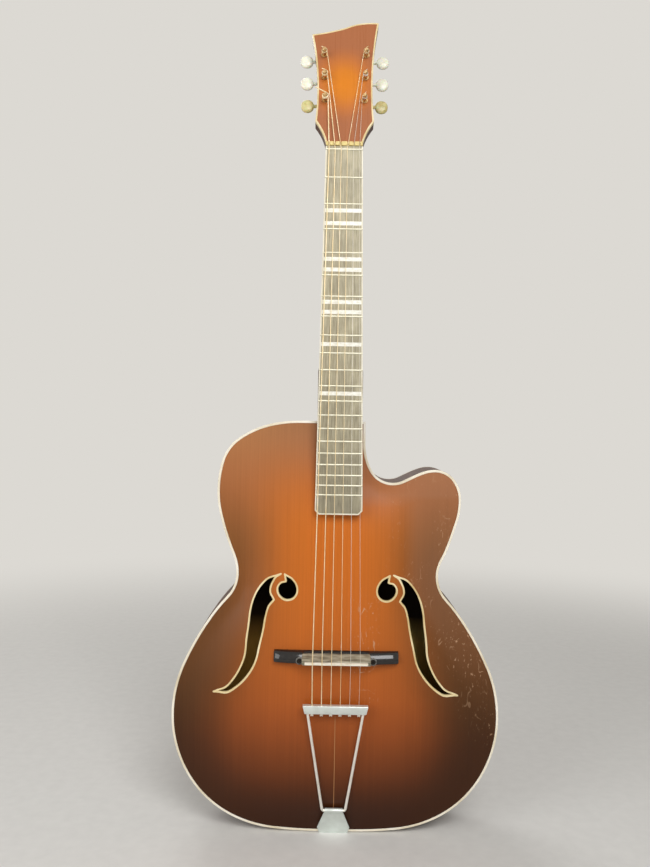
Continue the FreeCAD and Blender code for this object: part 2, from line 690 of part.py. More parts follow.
def neck_section(height, depth):
    """The neck's D-shaped section behind the fretboard."""
    half = board_half_width(-height)
    front = fretboard_thickness
    side = front + size("neck_side_depth")
    corners = [Vector(-half, front, height), Vector(half, front, height), Vector(half, side, height),
               Vector(-half, side, height)]
    back = Vector(0, front + depth, height)
    edges = [Part.LineSegment(corners[0], corners[1]).toShape(),
             Part.LineSegment(corners[1], corners[2]).toShape(),
             Part.Arc(corners[2], back, corners[3]).toShape(),
             Part.LineSegment(corners[3], corners[0]).toShape()]
    return Part.Wire(edges)


def heel_section(depth, length, width):
    """The heel's U-shaped section at a depth behind the fretboard surface, open towards the body."""
    low = -body_down - size("tenon_length")
    half = width / 2
    shoulder = -body_down + max(length - half, 0)
    corners = [Vector(-half, depth, low), Vector(half, depth, low), Vector(half, depth, shoulder),
               Vector(-half, depth, shoulder)]
    tip = Vector(0, depth, -body_down + length)
    edges = [Part.LineSegment(corners[0], corners[1]).toShape(),
             Part.LineSegment(corners[1], corners[2]).toShape(),
             Part.Arc(corners[2], tip, corners[3]).toShape(),
             Part.LineSegment(corners[3], corners[0]).toShape()]
    return Part.Wire(edges)


# Where the body's back edge lies, seen from the neck's frame
heel_back = neck_frame.inverse().multVec(Vector(0, back_y, joint_z)).y
heel_foot = heel_back - size("heel_cap_thickness")
heel_top_section = heel_section(fretboard_thickness, size("heel_length"), 2 * board_half_width(body_down))
heel_middle_section = heel_section(fretboard_thickness + size("heel_middle_depth"), size("heel_middle_length"),
                                   size("heel_middle_width"))
heel_foot_section = heel_section(heel_foot, size("heel_foot_length"), size("heel_foot_width"))
heel = Part.makeLoft([heel_top_section, heel_middle_section, heel_foot_section], True, False)
heel_cap = Part.Face(heel_foot_section).extrude(Y_AXIS * size("heel_cap_thickness"))


def head_outline():
    """The headstock seen from its front, in its own frame."""
    nut_half = board_half_width(-nut_back)
    corner_half = size("head_corner_width") / 2
    corner_height = size("head_corner_height")
    middle_half = size("head_middle_width") / 2
    top_half = size("head_top_width") / 2
    length = size("head_length")
    edges = [Part.LineSegment(Vector(-nut_half, 0, 0), Vector(nut_half, 0, 0)).toShape()]
    tops = {-1: Vector(-top_half, 0, size("head_bass_length")), 1: Vector(top_half, 0, length)}
    for side in (-1, 1):
        flare = nut_half + head_flare_reach_share * (corner_half - nut_half)
        low = Vector(side * nut_half, 0, 0)
        corner = Vector(side * corner_half, 0, corner_height)
        edges.append(Part.Arc(low, Vector(side * flare, 0, corner_height * head_flare_share), corner).toShape())
        waist = Vector(side * middle_half, 0, size("head_middle_height"))
        edges.append(Part.Arc(corner, waist, tops[side]).toShape())
    middle, bass, treble = [Vector(top_half * shares[0], 0, length * shares[1]) for shares in (
        head_crest_middle_shares, head_crest_bass_shares, head_crest_treble_shares)]
    edges.append(Part.Arc(tops[-1], bass, middle).toShape())
    edges.append(Part.Arc(middle, treble, tops[1]).toShape())
    return closed(edges)


head_wire = head_outline()
head_inner = inset(head_wire, size("head_binding_width"))
head_face_room = prism(head_wire, 0, size("head_veneer_thickness"))
head_core = prism(head_wire, size("head_veneer_thickness"), head_thickness)
# The edge strip stops at the nut, where the veneer runs through
head_strip = ring(head_wire, head_inner, 0, size("head_binding_depth"))
nut_room_half = board_half_width(-nut_back) - size("head_binding_width")
nut_room = Part.makeBox(2 * nut_room_half, size("head_binding_depth"), 2 * size("head_binding_width"),
                        Vector(-nut_room_half, 0, 0))
# The room in front of the neck's wood up to the back of the nut belongs to the fretboard and the nut
ahead_half = size("head_top_width")
ahead_depth = fretboard_thickness + ahead_half
ahead = Part.makeBox(2 * ahead_half, ahead_depth, ahead_depth + nut_back,
                     Vector(-ahead_half, -ahead_half, -ahead_depth))
ahead_of_head = placed(ahead, head_frame.inverse().multiply(neck_frame))
head_strip = head_strip.cut(nut_room).cut(ahead_of_head)


def row_frame(side):
    """The frame of a tuner strip: zero on the headstock's back under the middle post, X outwards."""
    lean = size("post_row_angle")
    turn = Rotation(Y_AXIS, lean if side > 0 else 180 - lean)
    middle = Vector(side * size("post_row_reach"), head_thickness, size("post_row_height"))
    return Placement(middle, turn)


def string_side(number):
    """The side of the headstock that a string is wound on: bass is -1."""
    return 1 if number <= len(STRINGS) / 2 else -1


def post_step(number):
    """A string's place in its row along the row's own Z: -1, 0 or 1 posts from the middle."""
    from_nut = number if string_side(number) > 0 else len(STRINGS) + 1 - number
    return string_side(number) * (from_nut - 2)


def tuner_frame(number):
    """The frame of one tuner: zero on the headstock's back at its post, in the headstock's frame."""
    along = Placement(Z_AXIS * (post_step(number) * size("post_pitch")), Rotation())
    return row_frame(string_side(number)).multiply(along)


def upright(radius, near, far, place):
    """A round bar through the headstock, from one depth to another, behind its back face."""
    return placed(Part.makeCylinder(radius, far - near, Y_AXIS * near, Y_AXIS), place)


post_radius = size("post_diameter") / 2
bore_radius = size("bushing_diameter") / 2
post_bores = Part.makeCompound([
    upright(bore_radius, -head_thickness - overrun, overrun, tuner_frame(number)) for number in STRINGS])


def tuner_screws():
    """Round-headed screws of both base plates, between the posts and past the outer ones."""
    pitch = size("post_pitch")
    past = pitch + size("tuner_plate_end_margin") - size("tuner_screw_head_diameter")
    plate = size("tuner_plate_thickness")
    screws = []
    for side in (-1, 1):
        for along in (-past, -pitch / 2, pitch / 2, past):
            spot = row_frame(side).multiply(Placement(Z_AXIS * along, Rotation()))
            head = upright(size("tuner_screw_head_diameter") / 2, plate,
                           plate + size("tuner_screw_head_height"), spot)
            shank = upright(size("screw_shank_diameter") / 2, plate - size("tuner_screw_length"), plate, spot)
            screws.append(head.fuse(shank).removeSplitter())
    return Part.makeCompound(screws)


tuner_screw_set = tuner_screws()
shaped("tuner_plate_screws", tuner_screw_set, head_frame)
shaped("headstock_veneer", head_face_room.cut(head_strip).cut(post_bores).cut(ahead_of_head), head_frame)
shaped("headstock_binding", head_strip, head_frame)


def neck_blank():
    """The neck's wood in one piece: shaft, heel, headstock core, tenon and tongue, in the neck's frame."""
    from_head = neck_frame.inverse().multiply(head_frame)
    from_body = neck_frame.inverse()
    low_section = neck_section(-body_down, size("neck_depth_at_heel"))
    high_section = neck_section(nut_back + size("neck_overrun"), size("neck_depth_at_nut"))
    shaft = Part.makeLoft([low_section, high_section], True, True)
    core = head_core.cut(head_strip).cut(post_bores).cut(tuner_screw_set)
    tongue_low = Vector(-size("tongue_width") / 2, fretboard_thickness, -body_down - size("tongue_length"))
    tongue = Part.makeBox(size("tongue_width"), size("neck_rise"), size("tongue_length") + overrun, tongue_low)
    body_room = prism(outline, front_y, back_y)
    lifted_room = top_room.copy()
    lifted_room.translate(Y_AXIS * -size("tongue_clearance"))
    lifted_room = lifted_room.common(prism(outline, crown_y - size("tongue_clearance"), back_y))
    shaft = shaft.cut(placed(head_face_room, from_head)).cut(placed(head_strip, from_head))
    blank = shaft.fuse([placed(core, from_head), heel, tongue]).cut(ahead)
    blank = blank.cut(placed(body_room, from_body)).cut(placed(lifted_room, from_body))
    return blank.fuse(placed(tenon, from_body)).removeSplitter()


shaped("neck", neck_blank(), neck_frame)
cap_trim = placed(prism(outline, front_y, back_y + overrun), neck_frame.inverse())
shaped("heel_cap", heel_cap.cut(cap_trim), neck_frame)

# Fretboard: a wedge with pockets for the marker bars, and its binding round three sides
BOARD_LENGTH = f"({fretboard_share} * Sizes.scale_length)"
SLOPE = f"(Sizes.fretboard_end_width - Sizes.nut_end_width) / {BOARD_LENGTH}"
NUT_HALF = f"(Sizes.nut_end_width - {SLOPE} * Sizes.zero_fret_to_nut) / 2"


def board(name, strip):
    """A tapered board lying down, drawn in by a strip's width at its sides and its end, with cut corners."""
    end_half = f"((Sizes.fretboard_end_width - {SLOPE} * {strip}) / 2 - {strip})"
    blank = bound("Part::Wedge", f"{name}_blank", Ymin=f"{strip} - {BOARD_LENGTH}",
                  Ymax="Sizes.zero_fret_to_nut", Xmin=f"-{end_half}", Xmax=end_half,
                  X2min=f"{strip} - {NUT_HALF}", X2max=f"{NUT_HALF} - {strip}",
                  Zmin="-Sizes.fretboard_thickness", Z2min="-Sizes.fretboard_thickness", Zmax="0", Z2max="0")
    # The cut corners of a board inside another lie a strip's width inside the other's
    leg = f"(Sizes.fretboard_end_chamfer - {2 - math.sqrt(2)} * {strip} + 2 * Sizes.cut_overrun)"
    corners = []
    for side, low, high in ((-1, "0", leg), (1, f"-{leg}", "0")):
        corner = bound("Part::Wedge", f"{name}_corner_{len(corners)}", Ymin="0", Ymax=leg, Xmin=low, Xmax=high,
                       X2min="0", X2max="0", Zmin="-Sizes.fretboard_thickness - Sizes.cut_overrun",
                       Z2min="-Sizes.fretboard_thickness - Sizes.cut_overrun", Zmax="Sizes.cut_overrun",
                       Z2max="Sizes.cut_overrun",
                       Placement__Base__x=f"{side} * ({end_half} + Sizes.cut_overrun)",
                       Placement__Base__y=f"{strip} - {BOARD_LENGTH} - Sizes.cut_overrun")
        corners.append(corner)
    return less(name, blank, gathered(f"{name}_corners", corners))


def fret_down(number):
    """How far a fret lies below the zero fret."""
    return size("scale_length") * (1 - 2 ** (-number / 12))


def fret_expression(number):
    return f"Sizes.scale_length * (1 - 2 ^ (-{number} / 12))"


def marker_bars(prefix):
    """The marker bars, each as wide as the board between its binding strips."""
    bars = []
    for order, (fret, share) in enumerate(marker_place_shares, start=1):
        down = f"({fret_expression(fret)} * {1 - share} + {fret_expression(fret + 1)} * {share})"
        half = f"((Sizes.nut_end_width + {SLOPE} * {down}) / 2 - Sizes.fretboard_binding_width)"
        bars.append(box(f"{prefix}_{order}", f"2 * {half}", "Sizes.marker_bar_width", "Sizes.marker_bar_depth",
                        (f"-{half}", f"-{down} - Sizes.marker_bar_width / 2", "-Sizes.marker_bar_depth")))
    return bars


pockets = gathered("marker_pockets", marker_bars("marker_pocket"))
node("fretboard", less("fretboard", board("board_core", "Sizes.fretboard_binding_width"), pockets), board_frame)
node("fret_markers", gathered("fret_markers", marker_bars("marker_bar")), board_frame)
board_room = board("board_room", "Sizes.fretboard_binding_width")
node("fretboard_binding", less("fretboard_binding", board("board_blank", "0"), board_room), board_frame)


def frets():
    """Crowned fret wires, the zero fret among them."""
    wires = []
    half_width = size("fret_width") / 2
    for number in range(LAST_FRET + 1):
        down = fret_down(number)
        half = board_half_width(down) - size("fret_end_inset")
        low = Vector(-half, 0, -down - half_width)
        high = Vector(-half, 0, -down + half_width)
        crown = Part.Arc(low, Vector(-half, -size("fret_height"), -down), high).toShape()
        section = Part.Face(Part.Wire([crown, Part.LineSegment(high, low).toShape()]))
        wires.append(section.extrude(X_AXIS * (2 * half)))
    return Part.makeCompound(wires)


shaped("frets", frets(), neck_frame)

# Strings: number 1 is the thinnest, on the treble side
head_from_body = head_frame.inverse()


def string_share(number):
    """Where a string lies across the spread, from 1 for the thinnest to -1 for the thickest."""
    count = len(STRINGS)
    return (count + 1 - 2 * number) / (count - 1)


def string_points(number):
    """The crossbar's middle, the saddle and the zero fret, along one string's middle."""
    across = string_share(number) / 2
    radius = size(f"string_{number}_diameter") / 2 + size("string_seat_clearance")
    bar = tail_frame.multVec(Vector(across * size("tail_string_spread"), 0, tail_run.Length))
    saddle = neck_frame.multVec(Vector(across * size("saddle_string_spread"), -size("saddle_rise") - radius,
                                       -saddle_down))
    zero = neck_frame.multVec(Vector(across * size("nut_string_spread"), -size("fret_height") - radius, 0))
    return bar, saddle, zero


def post_arrival(number):
    """Where a string first touches its post's winding, in the headstock's frame, and the winding's circle."""
    start = head_from_body.multVec(string_points(number)[2])
    post = tuner_frame(number).Base
    radius = post_radius + size("winding_clearance") + size(f"string_{number}_diameter") / 2
    to_post = Vector(post.x - start.x, 0, post.z - start.z)
    turn = -string_side(number)
    heading = math.atan2(to_post.z, to_post.x) - turn * math.asin(radius / to_post.Length)
    reach = math.sqrt(to_post.Length**2 - radius**2)
    arrival = Vector(start.x + reach * math.cos(heading), -size("winding_start"),
                     start.z + reach * math.sin(heading))
    return arrival, post, radius, turn


def winding(number):
    """The turns of a string on its post and its cut end, as arcs of a quarter turn, in the guitar's frame."""
    arrival, post, radius, turn = post_arrival(number)
    start = head_from_body.multVec(string_points(number)[2])
    pitch = size(f"string_{number}_diameter") + size("winding_gap")
    first = math.atan2(arrival.z - post.z, arrival.x - post.x)
    turns = (BASS_TURNS if string_side(number) < 0 else TREBLE_TURNS) + last_turn_share
    steps = math.ceil(4 * turns)
    points = []
    ways = []
    for step in range(steps + 1):
        done = min(step / 4, turns)
        angle = first + turn * 2 * math.pi * done
        points.append(Vector(post.x + radius * math.cos(angle), arrival.y - pitch * done,
                             post.z + radius * math.sin(angle)))
        way = Vector(-turn * radius * math.sin(angle), -pitch / (2 * math.pi), turn * radius * math.cos(angle))
        ways.append(way.normalize())
    ways[0] = (arrival - start).normalize()
    tail = size("low_string_tail") if number == STRINGS[-1] else size("winding_tail")
    points = [head_frame.multVec(point) for point in points]
    ways = [head_frame.Rotation.multVec(way) for way in ways]
    edges = []
    for step in range(steps):
        edges += biarc(points[step], ways[step], points[step + 1], ways[step + 1])
    edges.append(Part.LineSegment(points[-1], points[-1] + ways[-1] * tail).toShape())
    return edges


def least_gap(edges, diameter, radius):
    """The least gap of a winding to itself, measured on points along it."""
    step = diameter / 2
    points = Part.Wire(edges).discretize(Distance=step)
    half_turn = math.ceil(math.pi * radius / step)
    nearest = min((points[index] - other).Length for index in range(len(points))
                  for other in points[index + half_turn:])
    return nearest - diameter


def string_solid(number):
    """One unbroken string: ball end, straight runs over saddle and zero fret, turns on the post."""
    diameter = size(f"string_{number}_diameter")
    bar, saddle, zero = string_points(number)
    arrival, _, radius, _ = post_arrival(number)
    down = (bar - saddle).normalize()
    ball = bar + down * (size("crossbar_face_height") / 2 + size("ball_end_diameter") / 2)
    run = rounded_run([ball, saddle, zero, head_frame.multVec(arrival)], size("string_bend_radius"))
    turns = winding(number)
    gap = least_gap(turns, diameter, radius)
    print(f"string {number}: least gap between its turns {gap:.2f} mm")
    end = Part.makeSphere(size("ball_end_diameter") / 2, ball)
    return tube(run + turns, diameter).fuse(end).removeSplitter()


for number in STRINGS:
    shaped(f"string_{number}", string_solid(number))

# Nut: a block with a slot for each string
nut_half = board_half_width(-nut_back) - size("nut_overhang")


def nut_slots():
    """Room for the strings in the nut, in the neck's frame."""
    room = size("string_hole_clearance")
    neck_from_body = neck_frame.inverse()
    slots = []
    for number in STRINGS:
        start = neck_from_body.multVec(string_points(number)[2])
        end = neck_from_body.multVec(head_frame.multVec(post_arrival(number)[0]))
        slope = (end - start) / (end.z - start.z)
        near = start + slope * size("zero_fret_to_nut")
        far = start + slope * nut_back
        half = size(f"string_{number}_diameter") / 2 + room
        low = Vector(min(near.x, far.x) - half, -size("nut_rise") - overrun, size("zero_fret_to_nut") - overrun)
        depth = far.y + half - low.y
        width = abs(far.x - near.x) + 2 * half
        slots.append(Part.makeBox(width, depth, size("nut_thickness") + 2 * overrun, low))
    return Part.makeCompound(slots)


nut_block = Part.makeBox(2 * nut_half, fretboard_thickness + size("nut_rise"), size("nut_thickness"),
                         Vector(-nut_half, -size("nut_rise"), size("zero_fret_to_nut")))
shaped("nut", nut_block.cut(nut_slots()), neck_frame)

# Bridge
def bridge_base():
    """The wooden base: low wings, a tall middle, a wide foot, carved to the top."""
    tip = size("bridge_length") / 2
    middle = size("bridge_middle_length") / 2
    crest_y = saddle_top.y + size("saddle_reveal")
    wing_y = saddle_top.y + size("bridge_wing_drop")
    tip_y = saddle_top.y + size("bridge_tip_drop")
    foot_half = size("bridge_foot_thickness") / 2
    crown_half = size("bridge_crown_thickness") / 2
    front_points = [(-tip, front_y), (-tip, tip_y), (-middle, wing_y), (-middle, crest_y), (middle, crest_y),
                    (middle, wing_y), (tip, tip_y), (tip, front_y)]
    shift = size("bridge_foot_shift")
    low = saddle_top.z + shift - foot_half
    corners = [Vector(reach, depth, low) for reach, depth in front_points]
    slab = Part.Face(Part.makePolygon(corners + corners[:1])).extrude(Z_AXIS * (2 * foot_half))
    arch_y = front_y - size("top_arch_height")
    end_points = [(front_y, shift - foot_half), (arch_y, shift - foot_half), (crest_y, -crown_half),
                  (crest_y, crown_half), (arch_y, shift + foot_half), (front_y, shift + foot_half)]
    corners = [Vector(-tip, depth, saddle_top.z + along) for depth, along in end_points]
    wedge = Part.Face(Part.makePolygon(corners + corners[:1])).extrude(X_AXIS * (2 * tip))
    return slab.common(wedge).cut(top_room)


saddle_low = Vector(-size("saddle_length") / 2, saddle_top.y, saddle_top.z - size("saddle_thickness") / 2)
saddle = bound("Part::Box", "bridge_saddle", Length="Sizes.saddle_length", Height="Sizes.saddle_thickness",
               Width="Sizes.saddle_reveal + Sizes.saddle_seat_depth")
node("bridge_saddle", saddle, Placement(saddle_low, Rotation()))
doc.recompute()
shaped("bridge_base", bridge_base().cut(saddle.Shape))

# Tailpiece, drawn in its own frame
wire_radius = size("yoke_wire_diameter") / 2
yoke_foot = size("yoke_foot_width") / 2
rod_end = tail_run.Length - size("crossbar_face_height") / 2 + size("yoke_seat_depth")
# The rods pass outside the ball ends of the outer strings, below the crossbar
ball_radius = size("ball_end_diameter") / 2
ball_height = tail_run.Length - size("crossbar_face_height") / 2 - ball_radius
beside_ball = size("tail_string_spread") / 2 + ball_radius + size("yoke_ball_clearance") + wire_radius
yoke_top = yoke_foot + (beside_ball - yoke_foot) * rod_end / ball_height
yoke_path = rounded_run([Vector(-yoke_top, 0, rod_end), Vector(-yoke_foot, 0, 0), Vector(yoke_foot, 0, 0),
                         Vector(yoke_top, 0, rod_end)], size("yoke_bend_radius"))
yoke = tube(yoke_path, size("yoke_wire_diameter"))
shaped("tailpiece_yoke", yoke, tail_frame)


def string_holes():
    """Straight ways for the strings through the crossbar, in the tailpiece's frame."""
    ways = []
    for number in STRINGS:
        bar, saddle_point, _ = string_points(number)
        bar = tail_frame.inverse().multVec(bar)
        along = (tail_frame.inverse().multVec(saddle_point) - bar).normalize()
        radius = size(f"string_{number}_diameter") / 2 + size("string_hole_clearance")
        reach = size("crossbar_face_height") / 2 + overrun
        ways.append(Part.makeCylinder(radius, 2 * reach, bar - along * reach, along))
    return ways


crossbar_blank = bound("Part::Wedge", "crossbar_blank", Ymin="0", Ymax="Sizes.crossbar_face_height",
                       Xmin="-Sizes.crossbar_foot_width / 2", Xmax="Sizes.crossbar_foot_width / 2",
                       X2min="-Sizes.crossbar_width / 2", X2max="Sizes.crossbar_width / 2",
                       Zmin="-Sizes.crossbar_thickness / 2", Z2min="-Sizes.crossbar_thickness / 2",
                       Zmax="Sizes.crossbar_thickness / 2", Z2max="Sizes.crossbar_thickness / 2",
                       place=Placement(Z_AXIS * (tail_run.Length - size("crossbar_face_height") / 2),
                                       Rotation(X_AXIS, 90)))
crossbar_ways = doc.addObject("Part::Feature", "crossbar_ways")
crossbar_ways.Shape = Part.makeCompound(string_holes()).fuse(yoke)
node("tailpiece_crossbar", less("tailpiece_crossbar", crossbar_blank, crossbar_ways), tail_frame)


def hinge_plate():
    """Sheet metal: a foot under the tail end, a leg up to the hinge, and a barrel rolled round the yoke."""
    sheet_metal = size("hinge_plate_thickness")
    half = size("hinge_plate_width") / 2
    foot_half = size("hinge_plate_foot_width") / 2
    leg_front = front_y - size("hinge_plate_stand_off") - sheet_metal
    foot = Part.makeBox(2 * foot_half, size("hinge_foot_length"), sheet_metal, Vector(-foot_half, leg_front, 0))
    corner = Vector(0, leg_front + sheet_metal / 2, 0)
    rise = hinge_axis - corner
    lean = Rotation(Z_AXIS, rise)
    leg = Part.makeBox(2 * half, sheet_metal, rise.Length, Vector(-half, -sheet_metal / 2, 0))
    top_half = size("hinge_plate_top_width") / 2
    flare = size("hinge_plate_flare_height")
    taper_points = [(-foot_half, 0), (foot_half, 0), (half, flare), (top_half, rise.Length),
                    (-top_half, rise.Length), (-half, flare), (-foot_half, 0)]
    taper = Part.makePolygon([Vector(reach, 0, height) for reach, height in taper_points])
    leg = leg.common(prism(taper, -sheet_metal, sheet_metal))
    leg = placed(leg, Placement(corner, lean))
    bore = wire_radius + size("running_clearance")
    length = size("hinge_barrel_length")
    barrel_low = hinge_axis - X_AXIS * (length / 2)
    barrel = Part.makeCylinder(bore + size("hinge_barrel_wall"), length, barrel_low, X_AXIS)
    way = Part.makeCylinder(bore, length + 2 * overrun, barrel_low - X_AXIS * overrun, X_AXIS)
    floor = Part.makeBox(4 * half, 4 * half, half, Vector(-2 * half, front_y - 2 * half, -half))
    return foot.fuse([leg, barrel]).cut(way).cut(floor).cut(hinge_screw_set).removeSplitter()


shaped("tailpiece_hinge_plate", hinge_plate())

# Tuners
bushings = []
for number in STRINGS:
    place = tuner_frame(number)
    face = -head_thickness
    flange = upright(size("bushing_flange_diameter") / 2, face - size("bushing_flange_height"), face, place)
    sleeve = upright(bore_radius, face, face + size("bushing_depth"), place)
    hole = upright(post_radius + size("running_clearance"), -head_thickness - 2 * overrun,
                   face + size("bushing_depth") + overrun, place)
    bushings.append(flange.fuse(sleeve).cut(hole).removeSplitter())
shaped("post_bushings", Part.makeCompound(bushings), head_frame)

centre_distance = (size("gear_pitch_diameter") + size("worm_pitch_diameter")) / 2
worm_axis_y = size("tuner_plate_thickness") + size("worm_rise")
lug_inner = size("worm_length") / 2 + size("worm_end_play")
lug_outer = lug_inner + size("lug_thickness")
shaft_radius = size("shaft_diameter") / 2


def tuner_plate(side):
    """A base plate with two bearing lugs for each worm, in its row's frame."""
    plate = size("tuner_plate_thickness")
    half = size("tuner_plate_width") / 2
    reach = size("post_pitch") + size("tuner_plate_end_margin")
    solid = Part.makeBox(2 * half, plate, 2 * reach, Vector(-half, 0, -reach))
    lug_half = shaft_radius + size("lug_wall")
    lugs = []
    holes = []
    for step in (-1, 0, 1):
        post_z = step * size("post_pitch")
        worm_z = post_z + side * centre_distance
        holes.append(Part.makeCylinder(post_radius + size("running_clearance"), plate + 2 * overrun,
                                       Vector(0, -overrun, post_z), Y_AXIS))
        for inner in (-lug_outer, lug_inner):
            lugs.append(Part.makeBox(size("lug_thickness"), worm_axis_y + lug_half, 2 * lug_half,
                                     Vector(inner, 0, worm_z - lug_half)))
        way_start = Vector(-lug_outer - overrun, worm_axis_y, worm_z)
        holes.append(Part.makeCylinder(shaft_radius + size("running_clearance"), 2 * (lug_outer + overrun),
                                       way_start, X_AXIS))
    screws = placed(tuner_screw_set, row_frame(side).inverse())
    return solid.fuse(lugs).cut(Part.makeCompound(holes)).cut(screws).removeSplitter()


for label, side in (("tuner_plate_bass", -1), ("tuner_plate_treble", 1)):
    shaped(label, tuner_plate(side), head_frame.multiply(row_frame(side)))


def worm():
    """A worm on its shaft along X, with a thread crest facing -Z at its middle."""
    pitch = math.pi * size("gear_pitch_diameter") / GEAR_TEETH
    root = size("worm_pitch_diameter") / 2 - size("gear_dedendum")
    tip = size("worm_pitch_diameter") / 2 + size("gear_addendum")
    half = pitch * thread_share / 2
    slant = math.tan(math.radians(flank_angle))
    turns = math.ceil(size("worm_length") / pitch / 2)
    low = -turns * pitch
    buried = root - size("gear_addendum") / 2
    wide = half + (size("worm_pitch_diameter") / 2 - buried) * slant
    narrow = half - size("gear_addendum") * slant
    corners = [Vector(buried, 0, low - wide), Vector(tip, 0, low - narrow), Vector(tip, 0, low + narrow),
               Vector(buried, 0, low + wide)]
    helix = Part.makeHelix(pitch, 2 * turns * pitch, size("worm_pitch_diameter") / 2)
    helix.translate(Z_AXIS * low)
    thread = Part.Wire(helix.Edges).makePipeShell([Part.makePolygon(corners + corners[:1])], True, True)
    length = size("worm_length")
    thread = thread.common(Part.makeCylinder(tip + overrun, length, Z_AXIS * (-length / 2)))
    core = Part.makeCylinder(root, length, Z_AXIS * (-length / 2))
    inner_end = lug_outer + size("shaft_overhang")
    outer_end = size("button_reach") - size("button_length") / 2 + size("button_bore_depth")
    shaft = Part.makeCylinder(shaft_radius, inner_end + outer_end, Z_AXIS * -inner_end)
    return placed(core.fuse([thread, shaft]).removeSplitter(), Placement(Vector(), Rotation(Y_AXIS, 90)))


def sketch_on(body, name, role):
    """An empty sketch on one of a body's own planes."""
    sketch = body.newObject("Sketcher::SketchObject", name)
    plane = next(item for item in body.Origin.OriginFeatures if item.Role == role)
    sketch.AttachmentSupport = (plane, [""])
    sketch.MapMode = "FlatFace"
    return sketch


def draw_circle(sketch, radius):
    """A circle about the sketch's origin, its radius bound to an expression."""
    sketch.addGeometry(Part.Circle(Vector(), Z_AXIS, measure(radius)))
    sketch.addConstraint(Sketcher.Constraint("Coincident", 0, 3, -1, 1))
    sketch.addConstraint(Sketcher.Constraint("Radius", 0, measure(radius)))
    sketch.setExpression("Constraints[1]", radius)


def draw_profile(sketch, points):
    """A closed profile whose corners, none below zero, are bound to expressions."""
    count = len(points)
    corners = [Vector(measure(across), measure(along), 0) for across, along in points]
    for index, corner in enumerate(corners):
        sketch.addGeometry(Part.LineSegment(corner, corners[(index + 1) % count]))
    for index in range(count):
        sketch.addConstraint(Sketcher.Constraint("Coincident", index, 2, (index + 1) % count, 1))
    for index, (pair, corner) in enumerate(zip(points, corners)):
        ways = (("DistanceX", -2, pair[0], corner.x), ("DistanceY", -1, pair[1], corner.y))
        for kind, axis, expression, place in ways:
            if place == 0:
                sketch.addConstraint(Sketcher.Constraint("PointOnObject", index, 1, axis))
            else:
                order = sketch.addConstraint(Sketcher.Constraint(kind, -1, 1, index, 1, place))
                sketch.setExpression(f"Constraints[{order}]", expression)


HEAD_DEPTH = "(Sizes.head_veneer_thickness + Sizes.head_core_thickness)"
WORM_DEPTH = "(Sizes.tuner_plate_thickness + Sizes.worm_rise)"
POST_SHOULDER = f"(Sizes.post_rise + {HEAD_DEPTH} + {WORM_DEPTH} - Sizes.gear_thickness / 2)"


def string_post(number):
    """A turned post: chamfered tip, plain shank, and a smaller end that carries the gear."""
    body = doc.addObject("PartDesign::Body", f"string_post_{number}")
    profile = sketch_on(body, f"post_profile_{number}", "XY_Plane")
    radius = "Sizes.post_diameter / 2"
    seat = "Sizes.gear_seat_diameter / 2"
    end = f"{POST_SHOULDER} + Sizes.gear_thickness"
    draw_profile(profile, [("0", "0"), (f"{radius} - Sizes.post_tip_chamfer", "0"),
                           (radius, "Sizes.post_tip_chamfer"), (radius, POST_SHOULDER), (seat, POST_SHOULDER),
                           (seat, end), ("0", end)])
    turned = body.newObject("PartDesign::Revolution", f"post_turned_{number}")
    turned.Profile = profile
    turned.ReferenceAxis = (profile, ["V_Axis"])
    turned.Angle = 360
    place = head_frame.multiply(tuner_frame(number))
    tip = Placement(Y_AXIS * (-head_thickness - size("post_rise")), Rotation())
    return node(f"string_post_{number}", body, place.multiply(tip))


def post_gear(number):
    """A worm gear: a blank with one tooth gap cut and repeated, and a bore for the post's end."""
    body = doc.addObject("PartDesign::Body", f"post_gear_{number}")
    blank_sketch = sketch_on(body, f"gear_blank_{number}", "XY_Plane")
    draw_circle(blank_sketch, "Sizes.gear_pitch_diameter / 2 + Sizes.gear_addendum")
    blank = body.newObject("PartDesign::Pad", f"gear_pad_{number}")
    blank.Profile = blank_sketch
    blank.setExpression("Length", "Sizes.gear_thickness")
    blank.SideType = "Symmetric"
    bore_sketch = sketch_on(body, f"gear_bore_{number}", "XY_Plane")
    draw_circle(bore_sketch, "Sizes.gear_seat_diameter / 2")
    bore = body.newObject("PartDesign::Pocket", f"gear_bore_cut_{number}")
    bore.Profile = bore_sketch
    bore.setExpression("Length", "2 * Sizes.gear_thickness")
    bore.SideType = "Symmetric"
    gap_sketch = sketch_on(body, f"gear_gap_{number}", "XY_Plane")
    pitch_radius = size("gear_pitch_diameter") / 2
    slant = math.tan(math.radians(flank_angle))
    half = math.pi * size("gear_pitch_diameter") / GEAR_TEETH * (1 - tooth_share) / 2
    floor = pitch_radius - size("gear_dedendum")
    brim = pitch_radius + 2 * size("gear_addendum")
    floor_half = half - size("gear_dedendum") * slant
    brim_half = half + 2 * size("gear_addendum") * slant
    corners = [Vector(-floor_half, floor, 0), Vector(floor_half, floor, 0), Vector(brim_half, brim, 0),
               Vector(-brim_half, brim, 0)]
    for index, corner in enumerate(corners):
        gap_sketch.addGeometry(Part.LineSegment(corner, corners[(index + 1) % len(corners)]))
    gap = body.newObject("PartDesign::Pocket", f"gear_gap_cut_{number}")
    gap.Profile = gap_sketch
    gap.setExpression("Length", "2 * Sizes.gear_thickness")
    gap.SideType = "Symmetric"
    teeth = body.newObject("PartDesign::PolarPattern", f"gear_teeth_{number}")
    teeth.Originals = [gap]
    teeth.Axis = (blank_sketch, ["N_Axis"])
    teeth.Angle = 360
    teeth.Occurrences = GEAR_TEETH
    body.Tip = teeth
    place = head_frame.multiply(tuner_frame(number))
    middle = Placement(Y_AXIS * worm_axis_y, Rotation(X_AXIS, -90))
    return node(f"post_gear_{number}", body, place.multiply(middle))


